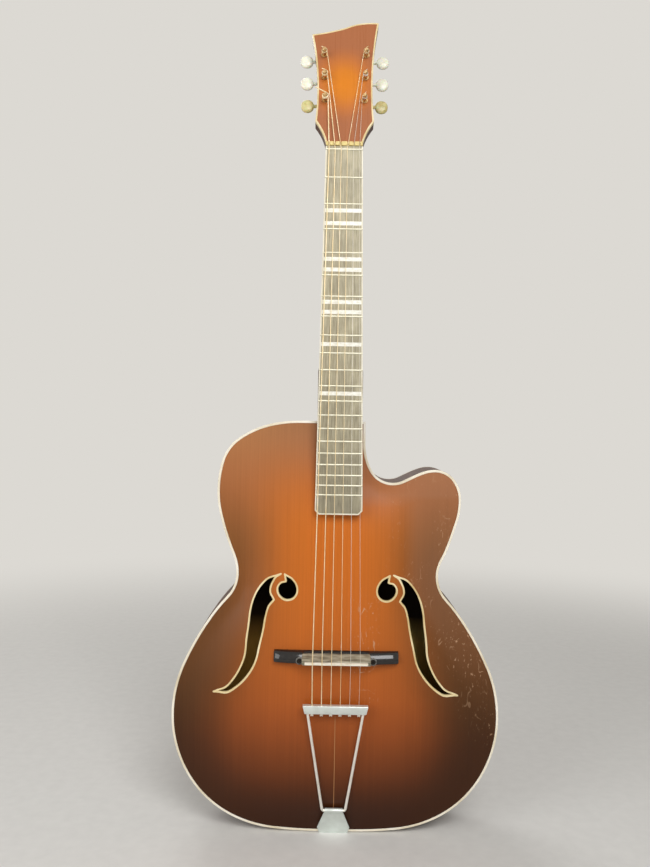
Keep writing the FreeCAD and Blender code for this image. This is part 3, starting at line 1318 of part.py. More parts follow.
def button(number):
    """A flat oval button with a round neck, bored for its shaft. Z runs outwards along the shaft."""
    oval = bound("Part::Ellipsoid", f"button_oval_{number}", Radius1="Sizes.button_length / 2",
                 Radius2="Sizes.button_width / 2", Radius3="Sizes.button_thickness / 2",
                 Angle1="-90", Angle2="90", Angle3="360")
    neck = bound("Part::Cylinder", f"button_neck_{number}", Radius="Sizes.button_collar_diameter / 2",
                 Height="Sizes.button_length / 2 + Sizes.button_collar_length",
                 Placement__Base__z="-Sizes.button_length / 2 - Sizes.button_collar_length")
    hole = bound("Part::Cylinder", f"button_hole_{number}", Radius="Sizes.shaft_diameter / 2",
                 Height="Sizes.button_collar_length + Sizes.button_bore_depth",
                 Placement__Base__z="-Sizes.button_length / 2 - Sizes.button_collar_length")
    return less(f"tuner_button_{number}", joined(f"button_body_{number}", [oval, neck]), hole)


worm_shape = worm()
for number in STRINGS:
    string_post(number)
    post_gear(number)
    side = string_side(number)
    worm_turn = Rotation(X_AXIS, 0 if side > 0 else 180)
    worm_place = Placement(Vector(0, worm_axis_y, side * centre_distance), worm_turn)
    worm_place = head_frame.multiply(tuner_frame(number)).multiply(worm_place)
    shaped(f"worm_shaft_{number}", worm_shape, worm_place)
    button_place = Placement(X_AXIS * size("button_reach"), Rotation(Y_AXIS, 90))
    node(f"tuner_button_{number}", button(number), worm_place.multiply(button_place))

doc.recompute()
faults = [thing.Label for thing in doc.Objects if {"Invalid", "Error"} & set(thing.State)]
faults += [thing.Label for thing in nodes if thing.Shape.isNull() or not thing.Shape.isValid()]
if faults:
    raise ValueError(f"these failed: {faults}")

os.makedirs("parts", exist_ok=True)
for thing in nodes:
    thing.Shape.exportStep(f"parts/{thing.Label}.step")
    print(f"{thing.Label}: {len(thing.Shape.Solids)} solids, {thing.Shape.Volume:.1f} mm3")

# Joint places for the motion: each turning axis of the tuners and the tailpiece hinge
for number in STRINGS:
    place = head_frame.multiply(tuner_frame(number))
    worm_spot = place.multVec(Vector(0, worm_axis_y, string_side(number) * centre_distance))
    post_spot = place.multVec(Vector(0, worm_axis_y, 0))
    for label, spot, axis in (("post", post_spot, Y_AXIS), ("button", worm_spot, X_AXIS)):
        turned_axis = place.Rotation.multVec(axis)
        print(f"{label} {number}: at {tuple(spot)} along {tuple(turned_axis)}")
print(f"tailpiece hinge: at {tuple(hinge_axis)} along {tuple(X_AXIS)}")
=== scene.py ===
# %% [markdown]
# # An archtop guitar, dressed over its solids
# The solids of the guitar are already in place, in metres, with the neck along +Z and the front facing -Y.
# This lesson gives each of them its finish, and swaps the plain strings, buttons, bridge base, crossbar and
# screws for finer pieces. Sizes are written in millimetres, and MM turns them to metres.

# %% Load the solids
import json
import math

import bmesh
import bpy
from mathutils import Matrix, Vector

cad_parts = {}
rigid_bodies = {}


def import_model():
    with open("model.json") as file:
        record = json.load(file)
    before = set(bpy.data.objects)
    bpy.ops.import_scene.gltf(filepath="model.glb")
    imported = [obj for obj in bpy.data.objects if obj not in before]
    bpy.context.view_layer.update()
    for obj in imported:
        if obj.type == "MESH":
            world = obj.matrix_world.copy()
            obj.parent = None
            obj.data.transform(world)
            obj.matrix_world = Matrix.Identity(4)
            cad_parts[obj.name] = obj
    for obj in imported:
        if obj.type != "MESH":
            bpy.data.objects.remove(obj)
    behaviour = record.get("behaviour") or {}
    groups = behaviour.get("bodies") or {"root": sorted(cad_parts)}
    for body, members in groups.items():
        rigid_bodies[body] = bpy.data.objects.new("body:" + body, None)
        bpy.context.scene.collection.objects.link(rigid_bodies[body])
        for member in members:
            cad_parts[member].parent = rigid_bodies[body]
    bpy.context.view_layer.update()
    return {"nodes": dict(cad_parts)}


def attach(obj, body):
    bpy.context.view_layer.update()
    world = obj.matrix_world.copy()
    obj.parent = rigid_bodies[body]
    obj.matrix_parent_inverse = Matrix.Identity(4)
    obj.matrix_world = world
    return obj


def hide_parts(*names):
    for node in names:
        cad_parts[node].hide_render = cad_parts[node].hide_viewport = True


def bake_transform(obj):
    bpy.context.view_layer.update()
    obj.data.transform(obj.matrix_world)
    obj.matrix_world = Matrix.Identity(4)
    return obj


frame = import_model()
nodes = frame["nodes"]
scene = bpy.context.scene
scene.view_settings.view_transform = "Standard"
for thing in list(bpy.data.objects):
    if thing.type in ("LIGHT", "CAMERA"):
        bpy.data.objects.remove(thing)
MM = 0.001

# %% [markdown]
# ## Camera
# The photograph was taken from about a metre away, at half the guitar's height and a little left of the
# middle. A long lens from further off would be easier to set up, but the near camera matters: it shows the
# bridge from above and the headstock's edge from below.

# %% Camera
CAMERA_PLACE = (-18.4, -1025, 522.9)
LOOK_DOWN = math.radians(0.84)
ROLL = math.radians(0.93)
lens = bpy.data.cameras.new("normal_lens")
lens.sensor_fit = "VERTICAL"
lens.sensor_height = 36
lens.lens = 32.4
camera = bpy.data.objects.new("camera", lens)
scene.collection.objects.link(camera)
camera.matrix_world = (Matrix.Translation([value * MM for value in CAMERA_PLACE])
                       @ Matrix.Rotation(math.pi / 2 - LOOK_DOWN, 4, "X") @ Matrix.Rotation(ROLL, 4, "Z"))
scene.camera = camera
print(f"camera at {[round(value, 3) for value in camera.location]}")

# %% [markdown]
# ## Helpers for finishes
# Colours are written as the hex values one would pick from a picture, so one function turns them to the
# linear values that shaders work in. One more function adds a node, with its settings and what feeds it.
# Image textures could carry the finishes, but a noise pattern drawn at its real size stays sharp from near
# and needs no unwrapping. Most finishes are one such pattern, which sets colour, gloss and relief together.

# %% Colour and node helpers
def linear(text):
    """A hex colour as linear RGBA."""
    channels = [int(text[start:start + 2], 16) / 255 for start in (1, 3, 5)]
    light = [value / 12.92 if value <= 0.04045 else ((value + 0.055) / 1.055) ** 2.4 for value in channels]
    return (*light, 1)


def feed(tree, node, feeds):
    """Set a node's sockets to values or hex colours, or link them; a node stands for its first output."""
    for socket, value in feeds.items():
        if isinstance(value, bpy.types.Node):
            value = value.outputs[0]
        if isinstance(value, bpy.types.NodeSocket):
            tree.links.new(value, node.inputs[socket])
        else:
            node.inputs[socket].default_value = linear(value) if isinstance(value, str) else value


def add_node(tree, kind, feeds=None, stops=(), ease="LINEAR", **settings):
    """Add a node. feeds maps its sockets to what feeds them; stops fill a colour ramp."""
    node = tree.nodes.new("ShaderNode" + kind)
    for name, value in settings.items():
        setattr(node, name, value)
    if stops:
        node.color_ramp.interpolation = ease
        ramp = node.color_ramp.elements
        ramp[0].position = stops[0][0]
        ramp[1].position = stops[-1][0]
        for place, _ in stops[1:-1]:
            ramp.new(place)
        for element, (_, colour) in zip(ramp, stops):
            element.color = linear(colour) if isinstance(colour, str) else (colour, colour, colour, 1)
    feed(tree, node, feeds or {})
    return node


# %% [markdown]
# ## Helpers for patterns
# A finish is built up as a painter would: a stain, shaded by the grain, with thin layers over it where it
# is worn. Places are measured on the guitar, so that a pattern stays where it belongs.

# %% Finish, place and noise
def new_finish(name, **constants):
    """A material with its Principled shader; constants are set on the shader's own sockets."""
    material = bpy.data.materials.new(name)
    material.use_nodes = True
    shader = material.node_tree.nodes["Principled BSDF"]
    for socket, value in constants.items():
        shader.inputs[socket.replace("_", " ")].default_value = value
    return material, material.node_tree, shader


def guitar_axes(tree):
    """Where a point lies on the guitar, as the outputs X, Y and Z in metres."""
    place = add_node(tree, "TexCoord").outputs["Object"]
    return add_node(tree, "SeparateXYZ", {0: place}).outputs


def span(low, high, unit=1):
    """The values that a Map Range node starts from, given in a unit."""
    return {"From Min": low * unit, "From Max": high * unit}


def noise_at(tree, spacing, detail=4, roughness=0.5):
    """Noise whose features are spacing mm apart along X, Y and Z."""
    place = add_node(tree, "TexCoord").outputs["Object"]
    scale = [1 / (step * MM) for step in spacing]
    spread = add_node(tree, "Mapping", {"Vector": place, "Scale": scale})
    return add_node(tree, "TexNoise", {"Vector": spread, "Scale": 1, "Detail": detail,
                                       "Roughness": roughness})


# %% Layers and surface
# Nearly all of a noise pattern lies between these values
NOISE_LOW = 0.3
NOISE_HIGH = 0.7
BUMP_STRENGTH = 0.6


def shade_by(tree, colour, pattern, dark, light, low=NOISE_LOW, high=NOISE_HIGH):
    """A colour times dark where a pattern is low, and times light where it is high."""
    shade = add_node(tree, "MapRange", {"Value": pattern, **span(low, high), "To Min": dark,
                                        "To Max": light})
    shaded = add_node(tree, "Mix", {0: 1, 6: colour, 7: shade}, data_type="RGBA", blend_type="MULTIPLY")
    return shaded.outputs[2]


def layered(tree, colour, *layers):
    """Colours laid over a first one, each by its share."""
    for share, over in layers:
        # A colour Mix has its colours at sockets 6 and 7, and its result at 2
        colour = add_node(tree, "Mix", {0: share, 6: colour, 7: over}, data_type="RGBA").outputs[2]
    return colour


def within(tree, value, low, high, soft, unit=1):
    """1 where a value lies between low and high, fading to 0 over soft on either side, all in a unit."""
    rise = add_node(tree, "MapRange", {"Value": value, **span(low - soft, low, unit)})
    fall = add_node(tree, "MapRange", {"Value": value, **span(high + soft, high, unit)})
    return add_node(tree, "Math", {0: rise, 1: fall}, operation="MULTIPLY")


def set_surface(tree, shader, colour, height, rough, relief):
    """Colour, roughness that follows a height pattern from low to high, and relief of so many mm."""
    roughness = add_node(tree, "MapRange", {"Value": height, **span(NOISE_LOW, NOISE_HIGH),
                                            "To Min": rough[0], "To Max": rough[1]})
    bump = add_node(tree, "Bump", {"Height": height, "Distance": relief * MM, "Strength": BUMP_STRENGTH})
    feed(tree, shader, {"Base Color": colour, "Roughness": roughness, "Normal": bump})


def noise_finish(name, spacing, stops, rough, relief, **constants):
    """A finish of one noise pattern."""
    finish, tree, shader = new_finish(name, **constants)
    noise = noise_at(tree, spacing)
    colour = add_node(tree, "ValToRGB", {"Fac": noise}, stops)
    set_surface(tree, shader, colour, noise, rough, relief)
    return finish


# %% [markdown]
# ## Helpers for shapes
# The solids keep their shapes and get a finish; a bevel rounds the edges that catch light. New pieces are
# skins stretched over rings of points. Curves and spin modifiers could make some of them, but rings make
# them all, from a bar to a string, and keep the size of each section in plain sight. Several skins can make
# one piece, as the heads of a row of screws do.

# %% Coats on solids
SHARP_ANGLE = math.radians(40)
WELD_DISTANCE = 0.005


def coat_solid(finish, *names, soft_edge=0):
    """Give solids a finish, and edges rounded by so many mm."""
    for name in names:
        nodes[name].data.materials.clear()
        nodes[name].data.materials.append(finish)
        if soft_edge:
            weld = nodes[name].modifiers.new("weld", "WELD")
            weld.merge_threshold = WELD_DISTANCE * MM
            bevel = nodes[name].modifiers.new("soft_edge", "BEVEL")
            bevel.limit_method = "ANGLE"
            bevel.angle_limit = SHARP_ANGLE
            bevel.width = soft_edge * MM
            bevel.segments = 2
            bevel.harden_normals = True
    print(f"{finish.name}: {len(names)} solids")


# %% Skins over rings
def skin(rings):
    """Points and faces over rings of points, one after another, with both ends closed."""
    count = len(rings[0])
    points = [Vector(point) for ring in rings for point in ring]
    faces = []
    for row in range(len(rings) - 1):
        for step in range(count):
            low = row * count + step
            side = row * count + (step + 1) % count
            faces.append((low, side, side + count, low + count))
    faces.append(tuple(reversed(range(count))))
    faces.append(tuple(range(len(points) - count, len(points))))
    return points, faces


def new_piece(name, skins, finish, place=None, lengths=None):
    """One mesh from skins in mm, set in place by a matrix in mm; lengths are distances along its rings."""
    points = []
    faces = []
    for skin_points, skin_faces in skins:
        start = len(points)
        points += [(place or Matrix()) @ point * MM for point in skin_points]
        faces += [tuple(corner + start for corner in face) for face in skin_faces]
    mesh = bpy.data.meshes.new(name)
    mesh.from_pydata(points, [], faces)
    if lengths:
        count = len(points) // len(lengths)
        run = mesh.uv_layers.new(name="run")
        for loop in mesh.loops:
            row, step = divmod(loop.vertex_index, count)
            run.data[loop.index].uv = (step / count, lengths[row])
    shape = bmesh.new()
    shape.from_mesh(mesh)
    bmesh.ops.recalc_face_normals(shape, faces=shape.faces)
    shape.to_mesh(mesh)
    shape.free()
    mesh.shade_smooth()
    mesh.set_sharp_from_angle(angle=SHARP_ANGLE)
    mesh.materials.append(finish)
    piece = bpy.data.objects.new(name, mesh)
    scene.collection.objects.link(piece)
    return piece


def round_ring(radius, height, count=16):
    """A circle about Z at a height."""
    turns = [2 * math.pi * step / count for step in range(count)]
    return [(radius * math.cos(turn), radius * math.sin(turn), height) for turn in turns]


def both_halves(profile):
    """A profile from the middle outwards, with its mirror image before it."""
    return [(-reach, value) for reach, value in reversed(profile) if reach] + list(profile)


# %% [markdown]
# ## Sprayed burst
# A sunburst is stain from a spray gun: a warm middle goes over to a brown rim, in a cloud with no edge. It
# could be painted on an image; ramps give the same cloud at any size. Two ramps hold the colours of the
# middle and the rim up the body, and a third says how far out the one has gone half over to the other.

# %% Sprayed burst
# Height of the body's upper edge, where the neck starts
BODY_TOP = 524.2
# At heights up the body: how far out the middle has gone half over to the rim, as a share of the reach
BURST_REACH = 200
BURST_WIDTHS = ((0, 0.64), (0.16, 0.68), (0.27, 0.73), (0.4, 0.56), (0.55, 0.45), (0.72, 0.41), (0.82, 0.45),
                (1, 0.45))
# Over the fade's width across the body, with half way at 0.5: how far the stain has gone over
BURST_FADE = 130
BURST_SHARES = ((0, 0), (0.13, 0.08), (0.36, 0.28), (0.5, 0.52), (0.64, 0.76), (0.82, 0.93), (1, 1))
# How much sooner the rim comes at the reach on the treble side
TREBLE_PULL = 34
# How unevenly the gun was moved: clouds of this size shift the fade by this share
CLOUD = (90, 90, 90)
CLOUD_SHARE = 0.06


def sprayed_burst(tree, axes, middle, rim):
    """A stain from middle colours to rim colours, both given at heights up the body."""
    height = add_node(tree, "Math", {0: axes["Z"], 1: BODY_TOP * MM}, operation="DIVIDE")
    width = add_node(tree, "ValToRGB", {"Fac": height}, BURST_WIDTHS, "B_SPLINE")
    half = add_node(tree, "Math", {0: width, 1: BURST_REACH * MM}, operation="MULTIPLY")
    nearer = add_node(tree, "MapRange", {"Value": axes["X"], **span(0, BURST_REACH, MM),
                                         "To Max": TREBLE_PULL * MM})
    reach = add_node(tree, "Math", {0: axes["X"], 1: nearer}, operation="ADD")
    reach = add_node(tree, "Math", {0: reach}, operation="ABSOLUTE")
    past = add_node(tree, "Math", {0: reach, 1: half}, operation="SUBTRACT")
    across = add_node(tree, "MapRange", {"Value": past, **span(-BURST_FADE / 2, BURST_FADE / 2, MM)})
    drift = add_node(tree, "MapRange", {"Value": noise_at(tree, CLOUD, detail=3), "To Min": -CLOUD_SHARE,
                                        "To Max": CLOUD_SHARE})
    uneven = add_node(tree, "Math", {0: across, 1: drift}, operation="ADD")
    share = add_node(tree, "ValToRGB", {"Fac": uneven}, BURST_SHARES, "B_SPLINE")
    inner = add_node(tree, "ValToRGB", {"Fac": height}, middle, "B_SPLINE")
    outer = add_node(tree, "ValToRGB", {"Fac": height}, rim, "B_SPLINE")
    return layered(tree, inner, (share, outer))


# %% [markdown]
# ## Spruce top
# The carved top is spruce under clear lacquer, stained orange in the middle and brown round the rim. Spruce
# grows in fine straight lines along the strings, about 1.5 mm apart; they are drawn at 2.2 mm so that they
# show. The stain's upper colours carry a painted reflection round the neck, and its lower colours are darker
# partly with painted shade; more painted reflection lies beside the fretboard and down the treble edge. A
# sleeve and a pick left flecks and scratches beside the treble f-hole; noise makes them, since single marks
# would have to be drawn one by one. The two halves of the top meet in a seam that shows under the tailpiece,
# drawn as a pale line that is a painted glint.

# %% Worn lacquer and painted reflection
# Places on the top: X across it with treble to the right, Z up from the tail end. EDGE_X and FLECKED_X are
# counted from a slanting line down the treble side; beyond is how far past that line a point lies.
# Where the painted reflection starts and where it is full
SHOULDER_X = (0, 20)
SHOULDER_Z = (416, 432)
EDGE_X = (82, 100)
EDGE_Z = (190, 320)
# Where flecks start and are full, then a patch of them: from, to, and how softly it ends
FLECKED_X = (50, 105)
PATCH_X = (18, 48, 12)
PATCH_Z = (180, 290, 20)
# How strong the painted reflection is beside the fretboard, and at the foot and the head of the edge
SHOULDER_REFLECTION = 0.4
EDGE_REFLECTION = (0.02, 0.24)
# Patterns of wear, each with the levels at which it starts and is full: drifts of flecks, single flecks, and
# the stretches of a scratch that show, with their strength
DRIFTS = (45, 45, 70)
DRIFT_LEVELS = (0.43, 0.58)
FLECKS = (3.2, 3.2, 6)
FLECK_LEVELS = (0.61, 0.69)
STRETCHES = (9, 9, 14)
STRETCH_LEVELS = (0.52, 0.62)
SCRATCH_STRENGTH = 0.7
# Scratches lie along this pattern's level lines: from, to, and how softly they end
SCRATCH_LINES = (26, 26, 48)
LINE_LEVELS = (0.497, 0.503, 0.006)


def painted_reflection(tree, axes, beyond):
    """How much painted reflection lies beside the fretboard's treble edge and down the treble side."""
    beside = add_node(tree, "MapRange", {"Value": axes["X"], **span(*SHOULDER_X, MM)})
    above = add_node(tree, "MapRange", {"Value": axes["Z"], **span(*SHOULDER_Z, MM),
                                        "To Max": SHOULDER_REFLECTION})
    shoulder = add_node(tree, "Math", {0: beside, 1: above}, operation="MULTIPLY")
    fading = add_node(tree, "MapRange", {"Value": axes["Z"], **span(*EDGE_Z, MM),
                                         "To Min": EDGE_REFLECTION[0], "To Max": EDGE_REFLECTION[1]})
    edge = add_node(tree, "MapRange", {"Value": beyond, **span(*EDGE_X, MM), "To Max": fading})
    return add_node(tree, "Math", {0: shoulder, 1: edge}, operation="MAXIMUM")


def chipped_lacquer(tree, axes, beyond):
    """Flecks and scratches, in drifts down the treble edge and between the bridge and the neck."""
    patch_across = within(tree, axes["X"], *PATCH_X, MM)
    patch_up = within(tree, axes["Z"], *PATCH_Z, MM)
    patch = add_node(tree, "Math", {0: patch_across, 1: patch_up}, operation="MULTIPLY")
    edge = add_node(tree, "MapRange", {"Value": beyond, **span(*FLECKED_X, MM)})
    worn = add_node(tree, "Math", {0: patch, 1: edge}, operation="MAXIMUM")
    drifts = add_node(tree, "MapRange", {"Value": noise_at(tree, DRIFTS, detail=2), **span(*DRIFT_LEVELS)})
    places = add_node(tree, "Math", {0: worn, 1: drifts}, operation="MULTIPLY")
    flecks = add_node(tree, "MapRange", {"Value": noise_at(tree, FLECKS, detail=4, roughness=0.7),
                                         **span(*FLECK_LEVELS)})
    lines = within(tree, noise_at(tree, SCRATCH_LINES, detail=2), *LINE_LEVELS)
    stretches = add_node(tree, "MapRange", {"Value": noise_at(tree, STRETCHES, detail=2),
                                            **span(*STRETCH_LEVELS), "To Max": SCRATCH_STRENGTH})
    scratches = add_node(tree, "Math", {0: lines, 1: stretches}, operation="MULTIPLY")
    marks = add_node(tree, "Math", {0: flecks, 1: scratches}, operation="MAXIMUM")
    return add_node(tree, "Math", {0: places, 1: marks}, operation="MULTIPLY")


# %% Spruce top
# Up the body: paler near the neck, a painted reflection; darker near the tail, partly burst, partly painted
# shade
TOP_MIDDLE = ((0.02, "#341a0c"), (0.09, "#43220f"), (0.16, "#6c3617"), (0.24, "#8a451b"), (0.33, "#a85520"),
              (0.5, "#c2661f"), (0.73, "#ce6e1f"), (0.84, "#bc6828"), (0.92, "#a3653a"), (1, "#986a48"))
TOP_RIM = ((0, "#381d0c"), (0.22, "#3b1e0a"), (0.34, "#4e2f11"), (0.46, "#69401f"), (0.62, "#6a4321"),
           (0.74, "#7f5027"), (0.86, "#a4643b"), (1, "#ac784c"))
SPRUCE_GRAIN = (2.2, 3000, 240)
# The slanting line down the treble side: this far out at its foot, in the middle at its head
SLANT_REACH = 122
SLANT_Z = (120, 313)
# The seam, drawn pale as a painted glint: from, to, and how softly it ends
SEAM_X = (-0.25, 0.25, 0.3)
SEAM_Z = (20, 150, 15)


def sunburst_spruce():
    """Sprayed stain over straight-grained spruce, lacquered and worn, with painted reflection and glint:
    softly glossy, with fine lines.
    """
    finish, tree, shader = new_finish("lacquered_spruce_sunburst", Specular_IOR_Level=0.22)
    axes = guitar_axes(tree)
    stain = sprayed_burst(tree, axes, TOP_MIDDLE, TOP_RIM)
    grain = noise_at(tree, SPRUCE_GRAIN, detail=3, roughness=0.55)
    wood = shade_by(tree, stain, grain, dark=0.94, light=1.05)
    slant = add_node(tree, "MapRange", {"Value": axes["Z"], **span(*SLANT_Z, MM),
                                        "To Min": SLANT_REACH * MM, "To Max": 0})
    beyond = add_node(tree, "Math", {0: axes["X"], 1: slant}, operation="SUBTRACT")
    # A pale line along the seam: a painted glint
    seam_across = within(tree, axes["X"], *SEAM_X, MM)
    seam_up = within(tree, axes["Z"], *SEAM_Z, MM)
    seam_glint = add_node(tree, "Math", {0: seam_across, 1: seam_up}, operation="MULTIPLY")
    # Over the wood lie a mauve-brown painted reflection, real flecks and scratches, and the seam's painted
    # glint
    wood = layered(tree, wood, (painted_reflection(tree, axes, beyond), "#a0745a"),
                   (chipped_lacquer(tree, axes, beyond), "#c39c7a"), (seam_glint, "#a8764c"))
    set_surface(tree, shader, wood, grain, rough=(0.3, 0.4), relief=0.03)
    return finish


coat_solid(sunburst_spruce(), "top_plate")

# %% [markdown]
# ## Maple back, ribs and neck
# The back is carved maple, the ribs are maple bent over a hot iron, and the neck is sawn from one maple
# plank. Maple can have a flame: bands across the grain, 5 to 8 mm apart, where the fibres wave. A wave
# texture would draw them too evenly, so they are noise stretched along the bands. Ribs and neck are stained
# dark, and the back has a sunburst like the top's. Inside, where the f-holes show it, the back is bare,
# paler towards the treble side with painted light and dark towards the neck with painted shade.

# %% Flamed maple
BACK_MIDDLE = ((0.02, "#482a1a"), (0.12, "#5a3320"), (0.24, "#8a4a25"), (0.4, "#b0602a"), (0.7, "#c06a2c"),
               (0.86, "#a05427"), (1, "#703d22"))
BACK_RIM = ((0, "#482a1a"), (0.5, "#573220"), (1, "#5f3822"))
DARK_STAIN = ((0.3, "#3f251a"), (0.55, "#53311f"), (0.75, "#633a23"))
MAPLE_PORES = (1.2, 1.2, 14)
# Across X the bare inside goes from brown to painted light on the treble side; above these heights, painted
# shade
BARE_X = (-100, 100)
PAINTED_SHADE_Z = (222, 258)


def bare_inside(tree, axes, wood):
    """Wood left bare where it faces forwards, into the body, with painted light to the treble side and
    painted shade towards the neck.
    """
    normal = add_node(tree, "TexCoord").outputs["Normal"]
    facing = add_node(tree, "SeparateXYZ", {0: normal}).outputs["Y"]
    inside = add_node(tree, "MapRange", {"Value": facing, **span(-0.5, -0.6)})
    # Painted light towards the treble side and painted shade up towards the neck, over the bare wood's brown
    treble = add_node(tree, "MapRange", {"Value": axes["X"], **span(*BARE_X, MM)})
    painted_shade_above = add_node(tree, "MapRange", {"Value": axes["Z"], **span(*PAINTED_SHADE_Z, MM)})
    bare = layered(tree, "#a87c36", (treble, "#fbd978"), (painted_shade_above, "#2c1d0c"))
    return layered(tree, wood, (inside, bare))


def flamed_maple(name, spacing, burst=False):
    """Stained maple, softly glossy, with flame bands so many mm apart along X, Y and Z."""
    finish, tree, shader = new_finish(name, Specular_IOR_Level=0.14)
    pores = noise_at(tree, MAPLE_PORES, detail=5, roughness=0.6)
    flame = noise_at(tree, spacing, detail=2)
    if burst:
        axes = guitar_axes(tree)
        stain = sprayed_burst(tree, axes, BACK_MIDDLE, BACK_RIM)
    else:
        stain = add_node(tree, "ValToRGB", {"Fac": pores}, DARK_STAIN)
    wood = shade_by(tree, stain, flame, dark=0.72, light=1.2, low=0.35, high=0.65)
    if burst:
        wood = bare_inside(tree, axes, wood)
    wood = shade_by(tree, wood, pores, dark=0.9, light=1.08)
    set_surface(tree, shader, wood, pores, rough=(0.34, 0.48), relief=0.02)
    return finish


coat_solid(flamed_maple("lacquered_maple_sunburst", (70, 70, 6), burst=True), "back_plate")
coat_solid(flamed_maple("bent_maple_dark", (6, 120, 7)), "bass_rib", "treble_rib")
coat_solid(flamed_maple("sawn_maple_dark", (40, 40, 6)), "neck")

# %% [markdown]
# ## Headstock face
# A thin veneer, sprayed orange in the middle and red-brown at the edges, under clear lacquer. A spherical
# gradient would make the burst round; the distances across and up, each over its own reach, make it a
# little taller.

# %% Headstock face
HEAD_STAIN = ((0.1, "#d57d1b"), (0.35, "#cf7a22"), (0.6, "#bf7033"), (0.85, "#ac683e"), (1, "#a66641"))
VENEER_GRAIN = (2, 60, 90)
# The burst's middle and its rim, across and up
HEAD_BURST_X = (-1, 48)
HEAD_BURST_Z = (956, 1012)


def headstock_veneer():
    """A sprayed burst over a veneer with faint grain up the headstock, glossy all over."""
    finish, tree, shader = new_finish("lacquered_veneer_sunburst", Specular_IOR_Level=0.2)
    axes = guitar_axes(tree)
    across = add_node(tree, "MapRange", {"Value": axes["X"], **span(*HEAD_BURST_X, MM)}, clamp=False)
    up = add_node(tree, "MapRange", {"Value": axes["Z"], **span(*HEAD_BURST_Z, MM)}, clamp=False)
    both = add_node(tree, "CombineXYZ", {"X": across, "Y": up})
    spread = add_node(tree, "VectorMath", {0: both}, operation="LENGTH").outputs["Value"]
    stain = add_node(tree, "ValToRGB", {"Fac": spread}, HEAD_STAIN)
    grain = noise_at(tree, VENEER_GRAIN, detail=3, roughness=0.55)
    wood = shade_by(tree, stain, grain, dark=0.97, light=1.03)
    set_surface(tree, shader, wood, grain, rough=(0.25, 0.38), relief=0.03)
    return finish


coat_solid(headstock_veneer(), "headstock_veneer")

# %% [markdown]
# ## Binding
# Strips of celluloid, glued round every edge with solvent and scraped flush. Celluloid yellows with age and
# takes up dirt, so its cream colour drifts along the strip, and not all strips have aged alike. The strips
# are solids already; rounding their edges lets them catch the light as a scraped edge does.

# %% Aged celluloid
celluloid = noise_finish(
    "aged_celluloid", (30, 30, 45), ((0.3, "#d8caac"), (0.5, "#ece2cc"), (0.7, "#f6f0e2")),
    rough=(0.3, 0.5), relief=0.03)
golden_celluloid = noise_finish(
    "golden_celluloid", (20, 20, 30), ((0.3, "#cfb57c"), (0.5, "#e0cb98"), (0.7, "#ecddb4")),
    rough=(0.3, 0.5), relief=0.03)
pale_celluloid = noise_finish(
    "fretboard_celluloid", (20, 20, 30), ((0.3, "#d8d0b8"), (0.5, "#e6dfca"), (0.7, "#f0ebda")),
    rough=(0.35, 0.5), relief=0.03)
coat_solid(celluloid, "top_binding", "back_binding", "heel_cap", soft_edge=0.5)
coat_solid(golden_celluloid, "f_hole_bindings", "headstock_binding", soft_edge=0.5)
coat_solid(pale_celluloid, "fretboard_binding", soft_edge=0.4)

# %% [markdown]
# ## Fretboard
# Rosewood, planed and never lacquered. Fingers and dust have left it grey and dry along the neck, and a
# painted sheen makes it paler there; towards its end it keeps its brown. One even grey would look moulded,
# so fine grain, patches of dirt and the wear with painted sheen up the board are three patterns, each over
# the last. The marker
# bars are pearloid: celluloid with pearl flakes stirred in. The frets are drawn from nickel silver, and the
# nut is bone, gone yellow.

# %% Fretboard, markers, frets and nut
# Light grey: the wood's own dry grey, partly raised by a painted sheen
ROSEWOOD_STAIN = ((0.25, "#7d735c"), (0.42, "#a39a7f"), (0.55, "#b6ad92"), (0.72, "#c6bda3"))
ROSEWOOD_GRAIN = (1.1, 1.1, 45)
DIRT_PATCHES = (14, 14, 22)
# Where the wear and painted sheen start up the board, and where they are full
WEAR_AND_SHEEN_Z = (400, 660)


def rosewood_wear_and_sheen():
    """Dry rosewood: grey where it is worn and paler up the board with painted sheen, darker at the end of
    the board.
    """
    finish, tree, shader = new_finish("rosewood_wear_and_sheen")
    grain = noise_at(tree, ROSEWOOD_GRAIN, detail=6, roughness=0.65)
    wood = add_node(tree, "ValToRGB", {"Fac": grain}, ROSEWOOD_STAIN)
    dirt = noise_at(tree, DIRT_PATCHES, detail=3)
    wood = shade_by(tree, wood, dirt, dark=0.82, light=1.08, low=0.35, high=0.65)
    start, full = (place * MM for place in WEAR_AND_SHEEN_Z)
    # Paler up the neck: partly wear, partly a painted sheen
    wood = shade_by(tree, wood, guitar_axes(tree)["Z"], dark=0.66, light=1, low=start, high=full)
    set_surface(tree, shader, wood, grain, rough=(0.42, 0.6), relief=0.08)
    return finish


# Pearl flakes give soft clouds in a milky, glossy white
pearloid = noise_finish(
    "pearloid", (5, 5, 3), ((0.3, "#e4e0d2"), (0.5, "#f3f0e4"), (0.68, "#fbfaf3")),
    rough=(0.2, 0.35), relief=0.01)
# Drawn nickel silver, dulled by playing, is pale and warm with a soft shine
fret_metal = noise_finish(
    "nickel_silver", (3, 3, 3), ((0.3, "#d9d4ba"), (0.6, "#ebe7d4"), (0.8, "#f4f2e6")),
    rough=(0.3, 0.45), relief=0.01, Metallic=0.6)
# Old bone has a dull shine and faint clouds in its yellow
old_bone = noise_finish(
    "yellowed_bone", (6, 6, 4), ((0.3, "#c2a75e"), (0.55, "#dcc67c"), (0.8, "#e6d79a")),
    rough=(0.35, 0.5), relief=0.03)
coat_solid(rosewood_wear_and_sheen(), "fretboard", soft_edge=0.2)
coat_solid(pearloid, "fret_markers", soft_edge=0.2)
coat_solid(fret_metal, "frets")
coat_solid(old_bone, "nut", soft_edge=0.4)

